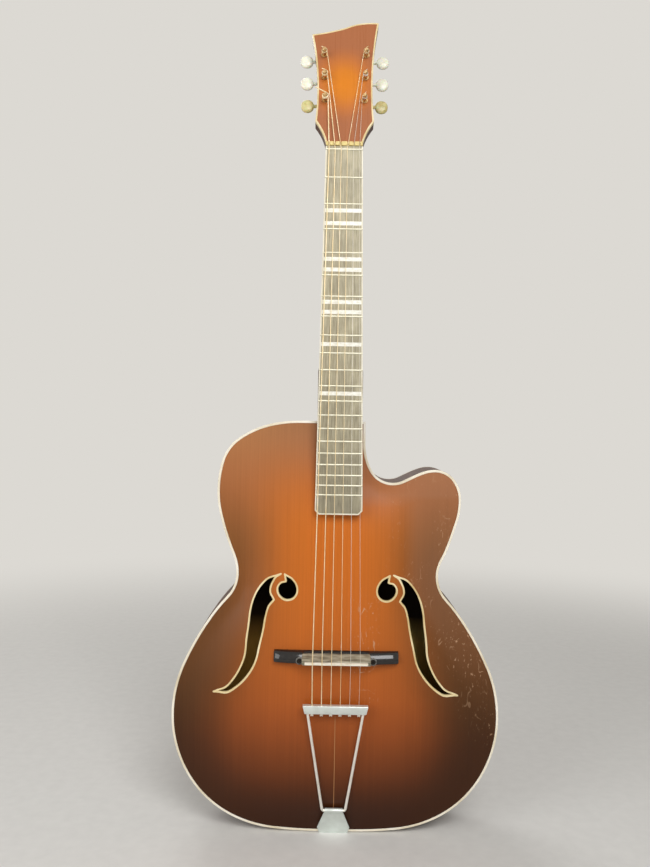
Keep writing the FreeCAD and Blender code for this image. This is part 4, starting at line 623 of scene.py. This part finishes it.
# %% [markdown]
# ## Frames along the neck
# The neck leans back 2 degrees from the body and the headstock 13 more. Places in the guitar's own frame
# would be hard to read, so buttons, screws and string turns are laid out in the headstock's frame, in
# millimetres: X across, Y into the wood, Z up the face.

# %% Frames of the neck, headstock and tailpiece
NECK_LEAN = math.radians(2)
HEAD_LEAN = math.radians(13)
FRETBOARD_FACE = -56.9
ZERO_FRET_RISE = 340
# The headstock starts so far behind and above the zero fret
HEAD_START = (0, 3.5, 9.5)
# The saddle's edge in front of the fretboard's face, and below the zero fret
SADDLE_FRONT = 8
SADDLE_RUN = 638
# The tailpiece: its hinge, and its crossbar's place in front of the body and below the saddle
HINGE_AXIS = Vector((0, -49.5, 34.2))
CROSSBAR_FRONT = -66.5
CROSSBAR_DROP = 58.6

neck_frame = (Matrix.Translation((0, FRETBOARD_FACE, BODY_TOP)) @ Matrix.Rotation(-NECK_LEAN, 4, "X")
              @ Matrix.Translation((0, 0, ZERO_FRET_RISE)))
head_frame = neck_frame @ Matrix.Translation(HEAD_START) @ Matrix.Rotation(-HEAD_LEAN, 4, "X")
saddle_top = neck_frame @ Vector((0, -SADDLE_FRONT, -SADDLE_RUN))
tail_run = Vector((0, CROSSBAR_FRONT, saddle_top.z - CROSSBAR_DROP)) - HINGE_AXIS
tail_frame = Matrix.Translation(HINGE_AXIS) @ Matrix.Rotation(math.atan2(-tail_run.y, tail_run.z), 4, "X")
print(f"saddle top at {[round(value, 2) for value in saddle_top]}")

# %% Frames of the tuners
# From the nut's middle to the middle post, post to post, and the row's lean outwards
POST_REACH = 26
POST_RISE = 95.3
POST_PITCH = 33.8
ROW_LEAN = math.radians(1.7)
HEAD_THICKNESS = 16
STRING_NUMBERS = range(1, 7)


def string_side(number):
    """1 for a string on the treble side, -1 on the bass side; 1 is the thinnest string."""
    return 1 if number <= 3 else -1


def row_frame(side):
    """A tuner strip's frame: zero on the headstock's back under the middle post, X outwards."""
    return (Matrix.Translation((side * POST_REACH, HEAD_THICKNESS, POST_RISE))
            @ Matrix.Rotation(ROW_LEAN if side > 0 else math.pi - ROW_LEAN, 4, "Y"))


def tuner_frame(number):
    """One tuner's frame, from its string's number; strings 1 and 6 have the posts nearest the nut."""
    side = string_side(number)
    from_nut = number if side > 0 else 7 - number
    return row_frame(side) @ Matrix.Translation((0, 0, side * (from_nut - 2) * POST_PITCH))


print(f"{len(STRING_NUMBERS)} tuners, {POST_PITCH} mm apart in their rows")

# %% [markdown]
# ## Wire
# The two thinnest strings are plain drawn steel. The others are steel cores wound with bronze wire, so
# their surface is a fine spiral. Its turns could be modelled, but they are a third of a millimetre wide and
# show only as a sheen, so a bump counts them along the string.

# %% Wire finishes
WRAP_PITCH = 0.3
TARNISH = (12, 12, 12)


def string_finish(name, stops, wrap=0):
    """Drawn or wound wire; wrap is the distance between the turns of its winding in mm, or 0."""
    finish, tree, shader = new_finish(name, Metallic=0.5)
    tarnish = noise_at(tree, TARNISH, detail=3)
    colour = add_node(tree, "ValToRGB", {"Fac": tarnish}, stops)
    height = tarnish
    if wrap:
        run = add_node(tree, "TexCoord").outputs["UV"]
        along = add_node(tree, "SeparateXYZ", {0: run}).outputs["Y"]
        turns = add_node(tree, "Math", {0: along, 1: math.pi / (wrap * MM)}, operation="MULTIPLY")
        wave = add_node(tree, "Math", {0: turns}, operation="SINE")
        height = add_node(tree, "Math", {0: wave}, operation="ABSOLUTE")
    set_surface(tree, shader, colour, height, rough=(0.28, 0.42), relief=0.08)
    return finish


# Bronze winding is a golden line with a broken sheen; drawn steel is a thin pale one
bronze_wound = string_finish("bronze_wound_wire", ((0.3, "#e9d09c"), (0.6, "#f4e2bc"), (0.8, "#fbf0da")),
                             WRAP_PITCH)
plain_steel = string_finish("plain_steel_wire", ((0.3, "#dad5c8"), (0.6, "#e9e5da"), (0.8, "#f4f1e9")))
print(f"wound wire with a turn every {WRAP_PITCH} mm")

# %% [markdown]
# ## Strings
# Each string runs straight from its ball end over the saddle and the zero fret to its post, where it is
# wound two or three times. A curve with a round bevel would draw it, but a skin over rings also holds the
# distance along the string, which the winding needs. Between the saddle and the crossbar a string gives
# when the tailpiece swings; that stretch is drawn in several steps.

# %% Where the strings run
DIAMETERS = (0.35, 0.45, 0.65, 0.85, 1.1, 1.35)
# The outer strings' distance from the middle
TAIL_REACH = 29
SADDLE_REACH = 29.25
NUT_REACH = 19
FRET_HEIGHT = 1
# How deep a string sits in its seat
SEAT_DEPTH = 0.01
# On the post: radius under the turns, the first turn's height, the gap between turns, and the end left over
POST_RADIUS = 2.85
FIRST_TURN = 6.5
TURN_GAP = 0.5
TREBLE_TURNS = 3.15
BASS_TURNS = 2.2
STEPS_A_TURN = 20
CUT_END = 5
LOW_STRING_END = 15


def string_seats(number):
    """Where a string passes the crossbar, the saddle and the zero fret, in mm."""
    # 1 at the first string and -1 at the sixth
    share = (7 - 2 * number) / 5
    rise = DIAMETERS[number - 1] / 2 - SEAT_DEPTH
    bar = tail_frame @ Vector((share * TAIL_REACH, 0, tail_run.length))
    saddle = neck_frame @ Vector((share * SADDLE_REACH, -SADDLE_FRONT - rise, -SADDLE_RUN))
    zero = neck_frame @ Vector((share * NUT_REACH, -FRET_HEIGHT - rise, 0))
    return bar, saddle, zero


def post_turns(number, zero):
    """The points of a string after the zero fret: its turns on the post and its cut end, in mm."""
    side = string_side(number)
    radius = POST_RADIUS + DIAMETERS[number - 1] / 2
    pitch = DIAMETERS[number - 1] + TURN_GAP
    start = head_frame.inverted() @ zero
    post = tuner_frame(number).translation
    to_post = Vector((post.x - start.x, 0, post.z - start.z))
    heading = math.atan2(to_post.z, to_post.x) + side * math.asin(radius / to_post.length)
    reach = math.sqrt(to_post.length**2 - radius**2)
    arrival = start + Vector((reach * math.cos(heading), 0, reach * math.sin(heading)))
    first = math.atan2(arrival.z - post.z, arrival.x - post.x)
    turns = TREBLE_TURNS if side > 0 else BASS_TURNS
    steps = round(turns * STEPS_A_TURN)
    coil = []
    for step in range(steps + 1):
        done = turns * step / steps
        angle = first - side * 2 * math.pi * done
        coil.append(Vector((post.x + radius * math.cos(angle), -FIRST_TURN - pitch * done,
                            post.z + radius * math.sin(angle))))
    left_over = LOW_STRING_END if number == STRING_NUMBERS[-1] else CUT_END
    coil.append(coil[-1] + (coil[-1] - coil[-2]).normalized() * left_over)
    return [head_frame @ point for point in coil]


# %% Strings
PLAIN_STRINGS = 2
RUN_STEPS = 12
# The ball end: how far below the crossbar's middle, and its sections from the middle out: place and radius
BALL_DROP = 7.2
BALL_SECTIONS = ((0.5, 1.5), (0.8, 2), (1.6, 2), (1.9, 1.5))


def wire_rings(points, radius, count=8):
    """Rings across a wire, each turned as little as can be from the one before, and their distances."""
    turns = [2 * math.pi * step / count for step in range(count)]
    rings = []
    lengths = []
    across = Vector((1, 0, 0))
    for index, point in enumerate(points):
        way = (points[min(index + 1, len(points) - 1)] - points[max(index - 1, 0)]).normalized()
        across = (across - way * way.dot(across)).normalized()
        other = way.cross(across)
        rings.append([point + (across * math.cos(turn) + other * math.sin(turn)) * radius for turn in turns])
        lengths.append(lengths[-1] + (point - points[index - 1]).length * MM if lengths else 0)
    return rings, lengths


for number, diameter in zip(STRING_NUMBERS, DIAMETERS):
    bar, saddle, zero = string_seats(number)
    ball = bar + (bar - saddle).normalized() * BALL_DROP
    run = [ball + (saddle - ball) * step / RUN_STEPS for step in range(RUN_STEPS + 1)]
    rings, lengths = wire_rings([*run, zero, *post_turns(number, zero)], diameter / 2)
    wire = plain_steel if number <= PLAIN_STRINGS else bronze_wound
    string = new_piece(f"guitar_string_{number}", [skin(rings)], wire, lengths=lengths)
    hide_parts(f"string_{number}")
    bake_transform(string)
    # The ball end: a small drum that lies across the string
    drum = [round_ring(wide, along) for along, wide in both_halves(BALL_SECTIONS)]
    seat = Matrix.Translation(ball) @ Matrix.Rotation(math.pi / 2, 4, "Y")
    end = new_piece(f"ball_end_{number}", [skin(drum)], plain_steel, seat)
    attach(end, "tailpiece")
print(f"{len(DIAMETERS)} strings")

# %% [markdown]
# ## Bridge base
# A lacquered black base with low wings stands on the carved top. Its foot is fitted to the arch, as a maker
# fits it with chalk and a scraper: each foot point is dropped onto the top by a ray, which is surer than
# repeating the arch's formula here.

# %% Bridge base
# Pearwood stained black, under a clear coat: nearly black, with small sharp highlights
black_wood = noise_finish(
    "blackened_pearwood", (3, 3, 3), ((0.3, "#0e0b0a"), (0.6, "#161210"), (0.8, "#241d18")),
    rough=(0.12, 0.24), relief=0.03, Specular_IOR_Level=0.1, Coat_Weight=1, Coat_Roughness=0.12)
# From the middle to a tip: reach, then how far the base's crest lies behind the saddle's edge
BASE_PROFILE = ((0, 14), (36, 14), (40, 13), (42, 9.6), (48, 9.2), (60, 10.6), (70, 12.2), (75.5, 13.4),
                (77.6, 15.5))
# Round a section: how far above the saddle's edge, then how far behind the crest, or None on the carved top
BASE_SECTION = ((-3.4, None), (-3.4, 3), (-2.8, 1.2), (-1.4, 0.3), (0.6, 0), (2.6, 0.25), (4.8, 1), (7, 2.1),
                (9.2, 3.6), (10.9, 5.6), (11.4, None), (8, None), (4, None), (0, None))
RAY_START = -100
FOOT_GAP = 0.02


def foot_at(reach, height):
    """Where the carved top lies, in mm."""
    start = Vector((reach, RAY_START, height)) * MM
    _, spot, _, _ = nodes["top_plate"].ray_cast(start, Vector((0, 1, 0)))
    return spot.y / MM


def base_ring(reach, drop):
    """A section of the base: a foot on the arch, a straight lower side and a rounded top."""
    ring = []
    for above, behind in BASE_SECTION:
        height = saddle_top.z + above
        if behind is None:
            ring.append((reach, foot_at(reach, height) - FOOT_GAP, height))
        else:
            ring.append((reach, saddle_top.y + drop + behind, height))
    return ring


base_rings = [base_ring(reach, drop) for reach, drop in both_halves(BASE_PROFILE)]
base = new_piece("bridge_foot", [skin(base_rings)], black_wood)
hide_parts("bridge_base")
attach(base, "guitar")
print(f"bridge base of {len(base_rings)} sections")

# %% [markdown]
# ## Bridge bar and thumbwheels
# Two studs rise from the base, and a thumbwheel on each carries the top bar, so that the strings' height
# can be set. The bar is bare wood, worn grey, with a bone strip let into its edge. The solids leave these
# small forms out. The strip's groove is drawn in the bar's section, which saves a boolean.

# %% Bridge bar and its bone strip
# Bare wood rubbed grey has short streaks along the bar
grey_wood = noise_finish(
    "worn_bridge_wood", (14, 3, 2.5), ((0.25, "#534c3c"), (0.5, "#8a8470"), (0.75, "#b9b49f")),
    rough=(0.3, 0.5), relief=0.1)
# Polished bone is white, with a soft shine
bone = noise_finish(
    "white_bone", (8, 8, 3), ((0.3, "#d6cbb2"), (0.55, "#e9e2d0"), (0.8, "#f3efe3")),
    rough=(0.3, 0.45), relief=0.02)
# Round a section, with the groove for the bone strip: how far above the saddle's edge and how far behind it
BRIDGE_BAR_SECTION = ((-3.2, 13.9), (-3.1, 10), (-2.9, 6), (-2.6, 3.2), (-2.2, 2.2), (-1.7, 2.05),
                      (-1.65, 4.05), (1.65, 4.05), (1.7, 2.05), (2.2, 2.2), (3, 3.2), (5, 6.6), (7.6, 10.6),
                      (9.2, 13.9))
# From the middle to an end: reach, and the share that a section is drawn in to, about this depth
BRIDGE_BAR_PROFILE = ((0, 1), (20, 1), (41, 1), (42, 0.96), (42.5, 0.86))
BRIDGE_BAR_DEPTH = 8
bar_rings = []
for reach, share in both_halves(BRIDGE_BAR_PROFILE):
    bar_rings.append([(reach, saddle_top.y + BRIDGE_BAR_DEPTH + (behind - BRIDGE_BAR_DEPTH) * share,
                       saddle_top.z + above * share) for above, behind in BRIDGE_BAR_SECTION])
bridge_bar = new_piece("bridge_bar", [skin(bar_rings)], grey_wood)
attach(bridge_bar, "guitar")
coat_solid(bone, "bridge_saddle", soft_edge=0.4)

# %% Thumbwheels and studs
# Nickel plate that is never polished is blotched with grey
old_nickel = noise_finish(
    "tarnished_nickel", (2, 2, 2), ((0.3, "#4b4a47"), (0.6, "#7a7873"), (0.85, "#a19e97")),
    rough=(0.28, 0.45), relief=0.03, Metallic=0.8)
# Brass gone nearly black shows only brown spots of its colour
dark_brass = noise_finish(
    "blackened_brass", (2, 2, 2), ((0.3, "#1b1815"), (0.6, "#2c2620"), (0.85, "#594a35")),
    rough=(0.3, 0.45), relief=0.03, Metallic=0.7)
# Sections forwards along the stud: place and radius
WHEEL_SECTIONS = ((0, 4.3), (0.3, 4.7), (2.3, 4.7), (2.6, 4.3))
STUD_SECTIONS = ((2.5, 3.3), (2.9, 3.1), (3, 1.6), (3.8, 1.5), (4.2, 1.2))
WHEEL_TEETH = 36
NOTCH_DEPTH = 0.22
# From the middle of the saddle's edge: outwards, backwards and up
WHEEL_REACH = 45.4
WHEEL_BEHIND = 9.2
WHEEL_ABOVE = 1.5


def notched_ring(radius, height):
    """A circle whose every second point lies in a notch."""
    ring = []
    for step in range(2 * WHEEL_TEETH):
        turn = math.pi * step / WHEEL_TEETH
        reach = radius - NOTCH_DEPTH * (step % 2)
        ring.append((reach * math.cos(turn), reach * math.sin(turn), height))
    return ring


wheel = [notched_ring(radius, height) for height, radius in WHEEL_SECTIONS]
stud = [round_ring(radius, height) for height, radius in STUD_SECTIONS]
for label, side in (("bass", -1), ("treble", 1)):
    spot = (side * WHEEL_REACH, saddle_top.y + WHEEL_BEHIND, saddle_top.z + WHEEL_ABOVE)
    place = Matrix.Translation(spot) @ Matrix.Rotation(math.pi / 2, 4, "X")
    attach(new_piece(f"bridge_wheel_{label}", [skin(wheel)], old_nickel, place), "guitar")
    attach(new_piece(f"bridge_stud_{label}", [skin(stud)], dark_brass, place), "guitar")
print(f"two thumbwheels of {WHEEL_TEETH} teeth")

# %% [markdown]
# ## Tailpiece
# A trapeze: a bent steel rod in a folded crossbar, hung from a hinge plate, all nickel plated. The plating
# has gone dull; sleeves keep the rods rubbed bright, and the tuner posts and bushings are drawn warm brown,
# a painted reflection of the orange headstock face. The crossbar is made anew with round edges, because the
# long upper edge is what catches the light.

# %% Nickel plate and crossbar
# Dull nickel plate is a cool grey-white with blurred highlights
nickel = noise_finish(
    "dull_nickel_plate", (12, 12, 12), ((0.25, "#d3d9d4"), (0.5, "#dde4df"), (0.75, "#e5ece8")),
    rough=(0.32, 0.44), relief=0.005, Metallic=0.6)
# Rubbed by sleeves, it is warmer and paler, with clearer highlights
bright_nickel = noise_finish(
    "rubbed_nickel_plate", (12, 12, 12), ((0.25, "#e6e1d2"), (0.5, "#f0ece2"), (0.75, "#f6f3ec")),
    rough=(0.28, 0.38), relief=0.005, Metallic=0.5)
# From the crossbar's middle up: how far, and by how much its sides are drawn in there
CROSSBAR_EDGES = ((4.4, 0), (4.9, 0.15), (5.25, 0.5), (5.4, 1))
CROSSBAR_HALF_WIDTH = 39.5
CROSSBAR_HALF_DEPTH = 3.2
CROSSBAR_CORNER = 0.8
CORNER_STEPS = 4
# It widens upwards by so much for each mm
CROSSBAR_FLARE = 3 / 13


def crossbar_ring(height, inset):
    """A section of the crossbar across the strings: an oblong with round corners."""
    half_width = CROSSBAR_HALF_WIDTH + CROSSBAR_FLARE * height - inset - CROSSBAR_CORNER
    half_depth = CROSSBAR_HALF_DEPTH - inset - CROSSBAR_CORNER
    ring = []
    for quarter, (side, face) in enumerate(((1, 1), (-1, 1), (-1, -1), (1, -1))):
        for step in range(CORNER_STEPS + 1):
            turn = math.pi / 2 * (quarter + step / CORNER_STEPS)
            ring.append((side * half_width + CROSSBAR_CORNER * math.cos(turn),
                         face * half_depth + CROSSBAR_CORNER * math.sin(turn), tail_run.length + height))
    return ring


crossbar_rings = [crossbar_ring(height, inset) for height, inset in both_halves(CROSSBAR_EDGES)]
crossbar = new_piece("folded_crossbar", [skin(crossbar_rings)], nickel, tail_frame)
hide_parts("tailpiece_crossbar")
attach(crossbar, "tailpiece")
coat_solid(nickel, "tailpiece_hinge_plate", soft_edge=0.25)
coat_solid(bright_nickel, "tailpiece_yoke", "hinge_plate_screws")

# %% [markdown]
# ## Tuner buttons
# The buttons are moulded ivory-coloured plastic: a flat oval with a neck. The pair nearest the nut has
# yellowed more. A squashed sphere would be too round at its rim, so each section is a little squarer than
# an oval.

# %% Buttons
# Moulded plastic is smooth and glossy, and light goes a little way into it; the yellowed pair is duller
ivory = noise_finish(
    "ivory_plastic", (7, 7, 9), ((0.3, "#e9e2cc"), (0.5, "#f2edda"), (0.7, "#f8f5e7")),
    rough=(0.2, 0.34), relief=0.02, Subsurface_Weight=0.15)
yellowed_ivory = noise_finish(
    "yellowed_ivory_plastic", (7, 7, 9), ((0.3, "#b5a96c"), (0.5, "#cabf82"), (0.7, "#ddd4a2")),
    rough=(0.22, 0.36), relief=0.02, Subsurface_Weight=0.15)
# Sections of a button along its shaft, outwards: place, half width and half thickness
BUTTON_SECTIONS = ((-13, 1.7, 1.7), (-12.8, 2, 2), (-12, 2.1, 2.1), (-9.6, 2, 2), (-8.6, 2.1, 2.1),
                   (-8.1, 3, 2.4), (-7.6, 4.5, 2.6), (-6.8, 6.1, 2.9), (-5.2, 7.8, 3.3), (-2.9, 8.9, 3.6),
                   (-0.4, 9.3, 3.8), (2.4, 8.9, 3.7), (4.8, 7.8, 3.3), (6.5, 6, 2.8), (7.6, 4, 2),
                   (8.1, 1.8, 0.9))
# 1 would be an oval; less is squarer
ROUNDNESS = 0.85
YELLOWED = (1, 6)
# The worm behind the headstock and beside its post, and from there to the button's middle
WORM_DEPTH = 5.6
WORM_OFFSET = 7
BUTTON_REACH = 23


def button_frame(number):
    """The frame of a button: zero in its middle, Z outwards along its shaft."""
    side = string_side(number)
    worm = tuner_frame(number) @ Matrix.Translation((0, WORM_DEPTH, side * WORM_OFFSET))
    worm = worm @ Matrix.Rotation(0 if side > 0 else math.pi, 4, "X")
    outwards = Matrix.Translation((BUTTON_REACH, 0, 0)) @ Matrix.Rotation(math.pi / 2, 4, "Y")
    return head_frame @ worm @ outwards


def rounded_ring(half_width, half_depth, height, count=28):
    """A section of a button, squarer than an oval."""
    ring = []
    for x, y, _ in round_ring(1, height, count):
        ring.append((half_width * math.copysign(abs(x) ** ROUNDNESS, x),
                     half_depth * math.copysign(abs(y) ** ROUNDNESS, y), height))
    return ring


sections = [rounded_ring(wide, deep, height) for height, wide, deep in BUTTON_SECTIONS]
for number in STRING_NUMBERS:
    plastic = yellowed_ivory if number in YELLOWED else ivory
    button = new_piece(f"peg_button_{number}", [skin(sections)], plastic, button_frame(number))
    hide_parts(f"tuner_button_{number}")
    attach(button, f"button_{number}")
print(f"{len(STRING_NUMBERS)} buttons")

# %% [markdown]
# ## Posts, gears, worms and screws
# Each tuner is a worm on the button's shaft that turns a brass gear under the post. The solids already have
# these forms and need only their metals. The screw heads are made anew: a disc with two half domes on it
# leaves the slot between them, without a boolean.

# %% Posts, gears, worms and plates
# Warm pale bronze on nickel plate: a painted reflection of the orange headstock face
warm_nickel = noise_finish(
    "nickel_plate_painted_warm", (4, 4, 4), ((0.3, "#b08a58"), (0.6, "#cfae7c"), (0.8, "#e2c9a0")),
    rough=(0.25, 0.4), relief=0.01, Metallic=0.8)
# Cut brass, browned by age, is a dull yellow metal
brass = noise_finish(
    "aged_brass", (4, 4, 4), ((0.3, "#8a6a34"), (0.55, "#ad8a48"), (0.8, "#c4a35f")),
    rough=(0.3, 0.5), relief=0.02, Metallic=1)
# Turned steel is plain grey, with clearer highlights than the brass
steel = noise_finish(
    "turned_steel", (3, 3, 3), ((0.3, "#7d7f80"), (0.6, "#a3a5a5"), (0.8, "#c0c2c1")),
    rough=(0.25, 0.4), relief=0.02, Metallic=1)
coat_solid(warm_nickel, "post_bushings", *[f"string_post_{number}" for number in STRING_NUMBERS])
coat_solid(brass, *[f"post_gear_{number}" for number in STRING_NUMBERS])
coat_solid(steel, *[f"worm_shaft_{number}" for number in STRING_NUMBERS])
coat_solid(nickel, "tuner_plate_bass", "tuner_plate_treble")

# %% Screw heads
SCREW_RADIUS = 2.1
SCREW_HEIGHT = 1.3
SLOT_HALF_WIDTH = 0.35
# Up a head, as shares of its height: the disc, the dome's rings, and how far above the disc it would close
DISC_SHARE = 0.3
DOME_SHARES = (0.3, 0.55, 0.8, 0.95, 1)
CLOSING_SHARE = 0.78
DOME_STEPS = 12
# Along a tuner plate, and how far on each slot has stopped from the one before
SCREW_PLACES = (-44.6, -16.9, 16.9, 44.6)
SLOT_TURN = 0.7
PLATE_THICKNESS = 1.2


def slotted_head(place):
    """A round screw head: a disc, and on it two half domes with the slot between them."""
    skins = [skin([round_ring(SCREW_RADIUS, 0), round_ring(SCREW_RADIUS, DISC_SHARE * SCREW_HEIGHT)])]
    for side in (-1, 1):
        rings = []
        for share in DOME_SHARES:
            wide = SCREW_RADIUS * math.sqrt(1 - ((share - DISC_SHARE) / CLOSING_SHARE) ** 2)
            open_turn = math.acos(SLOT_HALF_WIDTH / wide)
            turns = [open_turn * (2 * step / DOME_STEPS - 1) for step in range(DOME_STEPS + 1)]
            rings.append([(side * wide * math.cos(turn), wide * math.sin(turn), SCREW_HEIGHT * share)
                          for turn in turns])
        skins.append(skin(rings))
    return [([place @ point for point in points], faces) for points, faces in skins]


screw_skins = []
for side in (-1, 1):
    for order, along in enumerate(SCREW_PLACES):
        spot = (head_frame @ row_frame(side) @ Matrix.Translation((0, PLATE_THICKNESS, along))
                @ Matrix.Rotation(-math.pi / 2, 4, "X") @ Matrix.Rotation(SLOT_TURN * order + side, 4, "Z"))
        screw_skins += slotted_head(spot)
screws = new_piece("tuner_screw_heads", screw_skins, nickel)
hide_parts("tuner_plate_screws")
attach(screws, "guitar")
print(f"{2 * len(SCREW_PLACES)} screw heads")

# %% [markdown]
# ## Inside the body
# What shows through the f-holes is bare wood: spruce blocks, linings and bars, planed and glued, browned by
# age. It is seen only in the dark, so one noise stretched along the grain is enough.

# %% Raw spruce
# Planed and never lacquered, spruce is matt, with fine streaks along the grain
raw_spruce = noise_finish(
    "raw_spruce", (2, 60, 40), ((0.3, "#a98556"), (0.55, "#c4a272"), (0.75, "#d2b486")),
    rough=(0.55, 0.75), relief=0.06)
coat_solid(raw_spruce, "neck_block", "tail_block", "linings", "tone_bars")

# %% [markdown]
# ## Stage and light
# A wide round floor of pale paper and large soft lamps: a key from the upper right, where the window was, a
# weaker fill from the left and a rim lamp behind. The world is dim as a light, but the camera and the
# reflections see it pale. A curved backdrop would show its edge from behind; instead the floor turns to the
# world's pale colour some two metres out, so that no horizon shows from any side.

# %% Floor
PALE = "#dcd9d3"
# In metres: the floor's radius, and where its paper starts to turn pale and has done so
FLOOR_RADIUS = 14
FADE_START = 0.7
FADE_END = 2.2
FLOOR_CORNERS = 96
PAPER_FIBRES = (16, 16, 16)


def pale_floor():
    """Matt paper that keeps shadows near the guitar and is plain and pale far from it."""
    finish, tree, shader = new_finish("matt_paper")
    place = add_node(tree, "TexCoord").outputs["Object"]
    fibres = noise_at(tree, PAPER_FIBRES)
    sheet = add_node(tree, "ValToRGB", {"Fac": fibres}, ((0.3, "#dddbd7"), (0.7, "#e2e0dc")))
    set_surface(tree, shader, sheet, fibres, rough=(0.85, 0.95), relief=0.01)
    distance = add_node(tree, "VectorMath", {0: place}, operation="LENGTH").outputs["Value"]
    far = add_node(tree, "MapRange", {"Value": distance, **span(FADE_START, FADE_END)},
                   interpolation_type="SMOOTHERSTEP")
    seen = add_node(tree, "LightPath").outputs["Is Camera Ray"]
    share = add_node(tree, "Math", {0: far, 1: seen}, operation="MULTIPLY")
    glow = add_node(tree, "Emission", {"Color": PALE, "Strength": 1})
    both = add_node(tree, "MixShader", {0: share, 1: shader, 2: glow})
    feed(tree, tree.nodes["Material Output"], {"Surface": both})
    return finish


floor_mesh = bpy.data.meshes.new("floor")
floor_mesh.from_pydata(round_ring(FLOOR_RADIUS, 0, FLOOR_CORNERS), [], [tuple(range(FLOOR_CORNERS))])
floor_mesh.materials.append(pale_floor())
floor = bpy.data.objects.new("floor", floor_mesh)
scene.collection.objects.link(floor)
print(f"floor of {2 * FLOOR_RADIUS} m across")

# %% Lamps and sky
# Name, place, what it faces, width in metres and power in watts
LAMPS = (("key_lamp", (0.6, -2.1, 2), (0, 0, 0.55), 1.4, 44.5),
         ("fill_lamp", (-1.8, -1.6, 1.1), (0, 0, 0.5), 1.6, 24),
         ("rim_lamp", (-0.9, 1.8, 2.2), (0, 0, 0.5), 1.4, 18))
SKY_LIGHT = 0.3
for name, place, target, width, power in LAMPS:
    lamp = bpy.data.lights.new(name, "AREA")
    lamp.size = width
    lamp.energy = power
    holder = bpy.data.objects.new(name, lamp)
    holder.location = place
    holder.rotation_euler = (Vector(target) - Vector(place)).to_track_quat("-Z", "Y").to_euler()
    scene.collection.objects.link(holder)
world = bpy.data.worlds.new("soft_sky")
world.use_nodes = True
sky = world.node_tree
rays = add_node(sky, "LightPath").outputs
seen = rays["Is Camera Ray"]
for ray in ("Is Glossy Ray", "Is Transmission Ray"):
    seen = add_node(sky, "Math", {0: seen, 1: rays[ray]}, operation="MAXIMUM")
strength = add_node(sky, "MapRange", {"Value": seen, "To Min": SKY_LIGHT, "To Max": 1})
feed(sky, sky.nodes["Background"], {"Color": PALE, "Strength": strength})
scene.world = world
print(f"{len(LAMPS)} lamps")
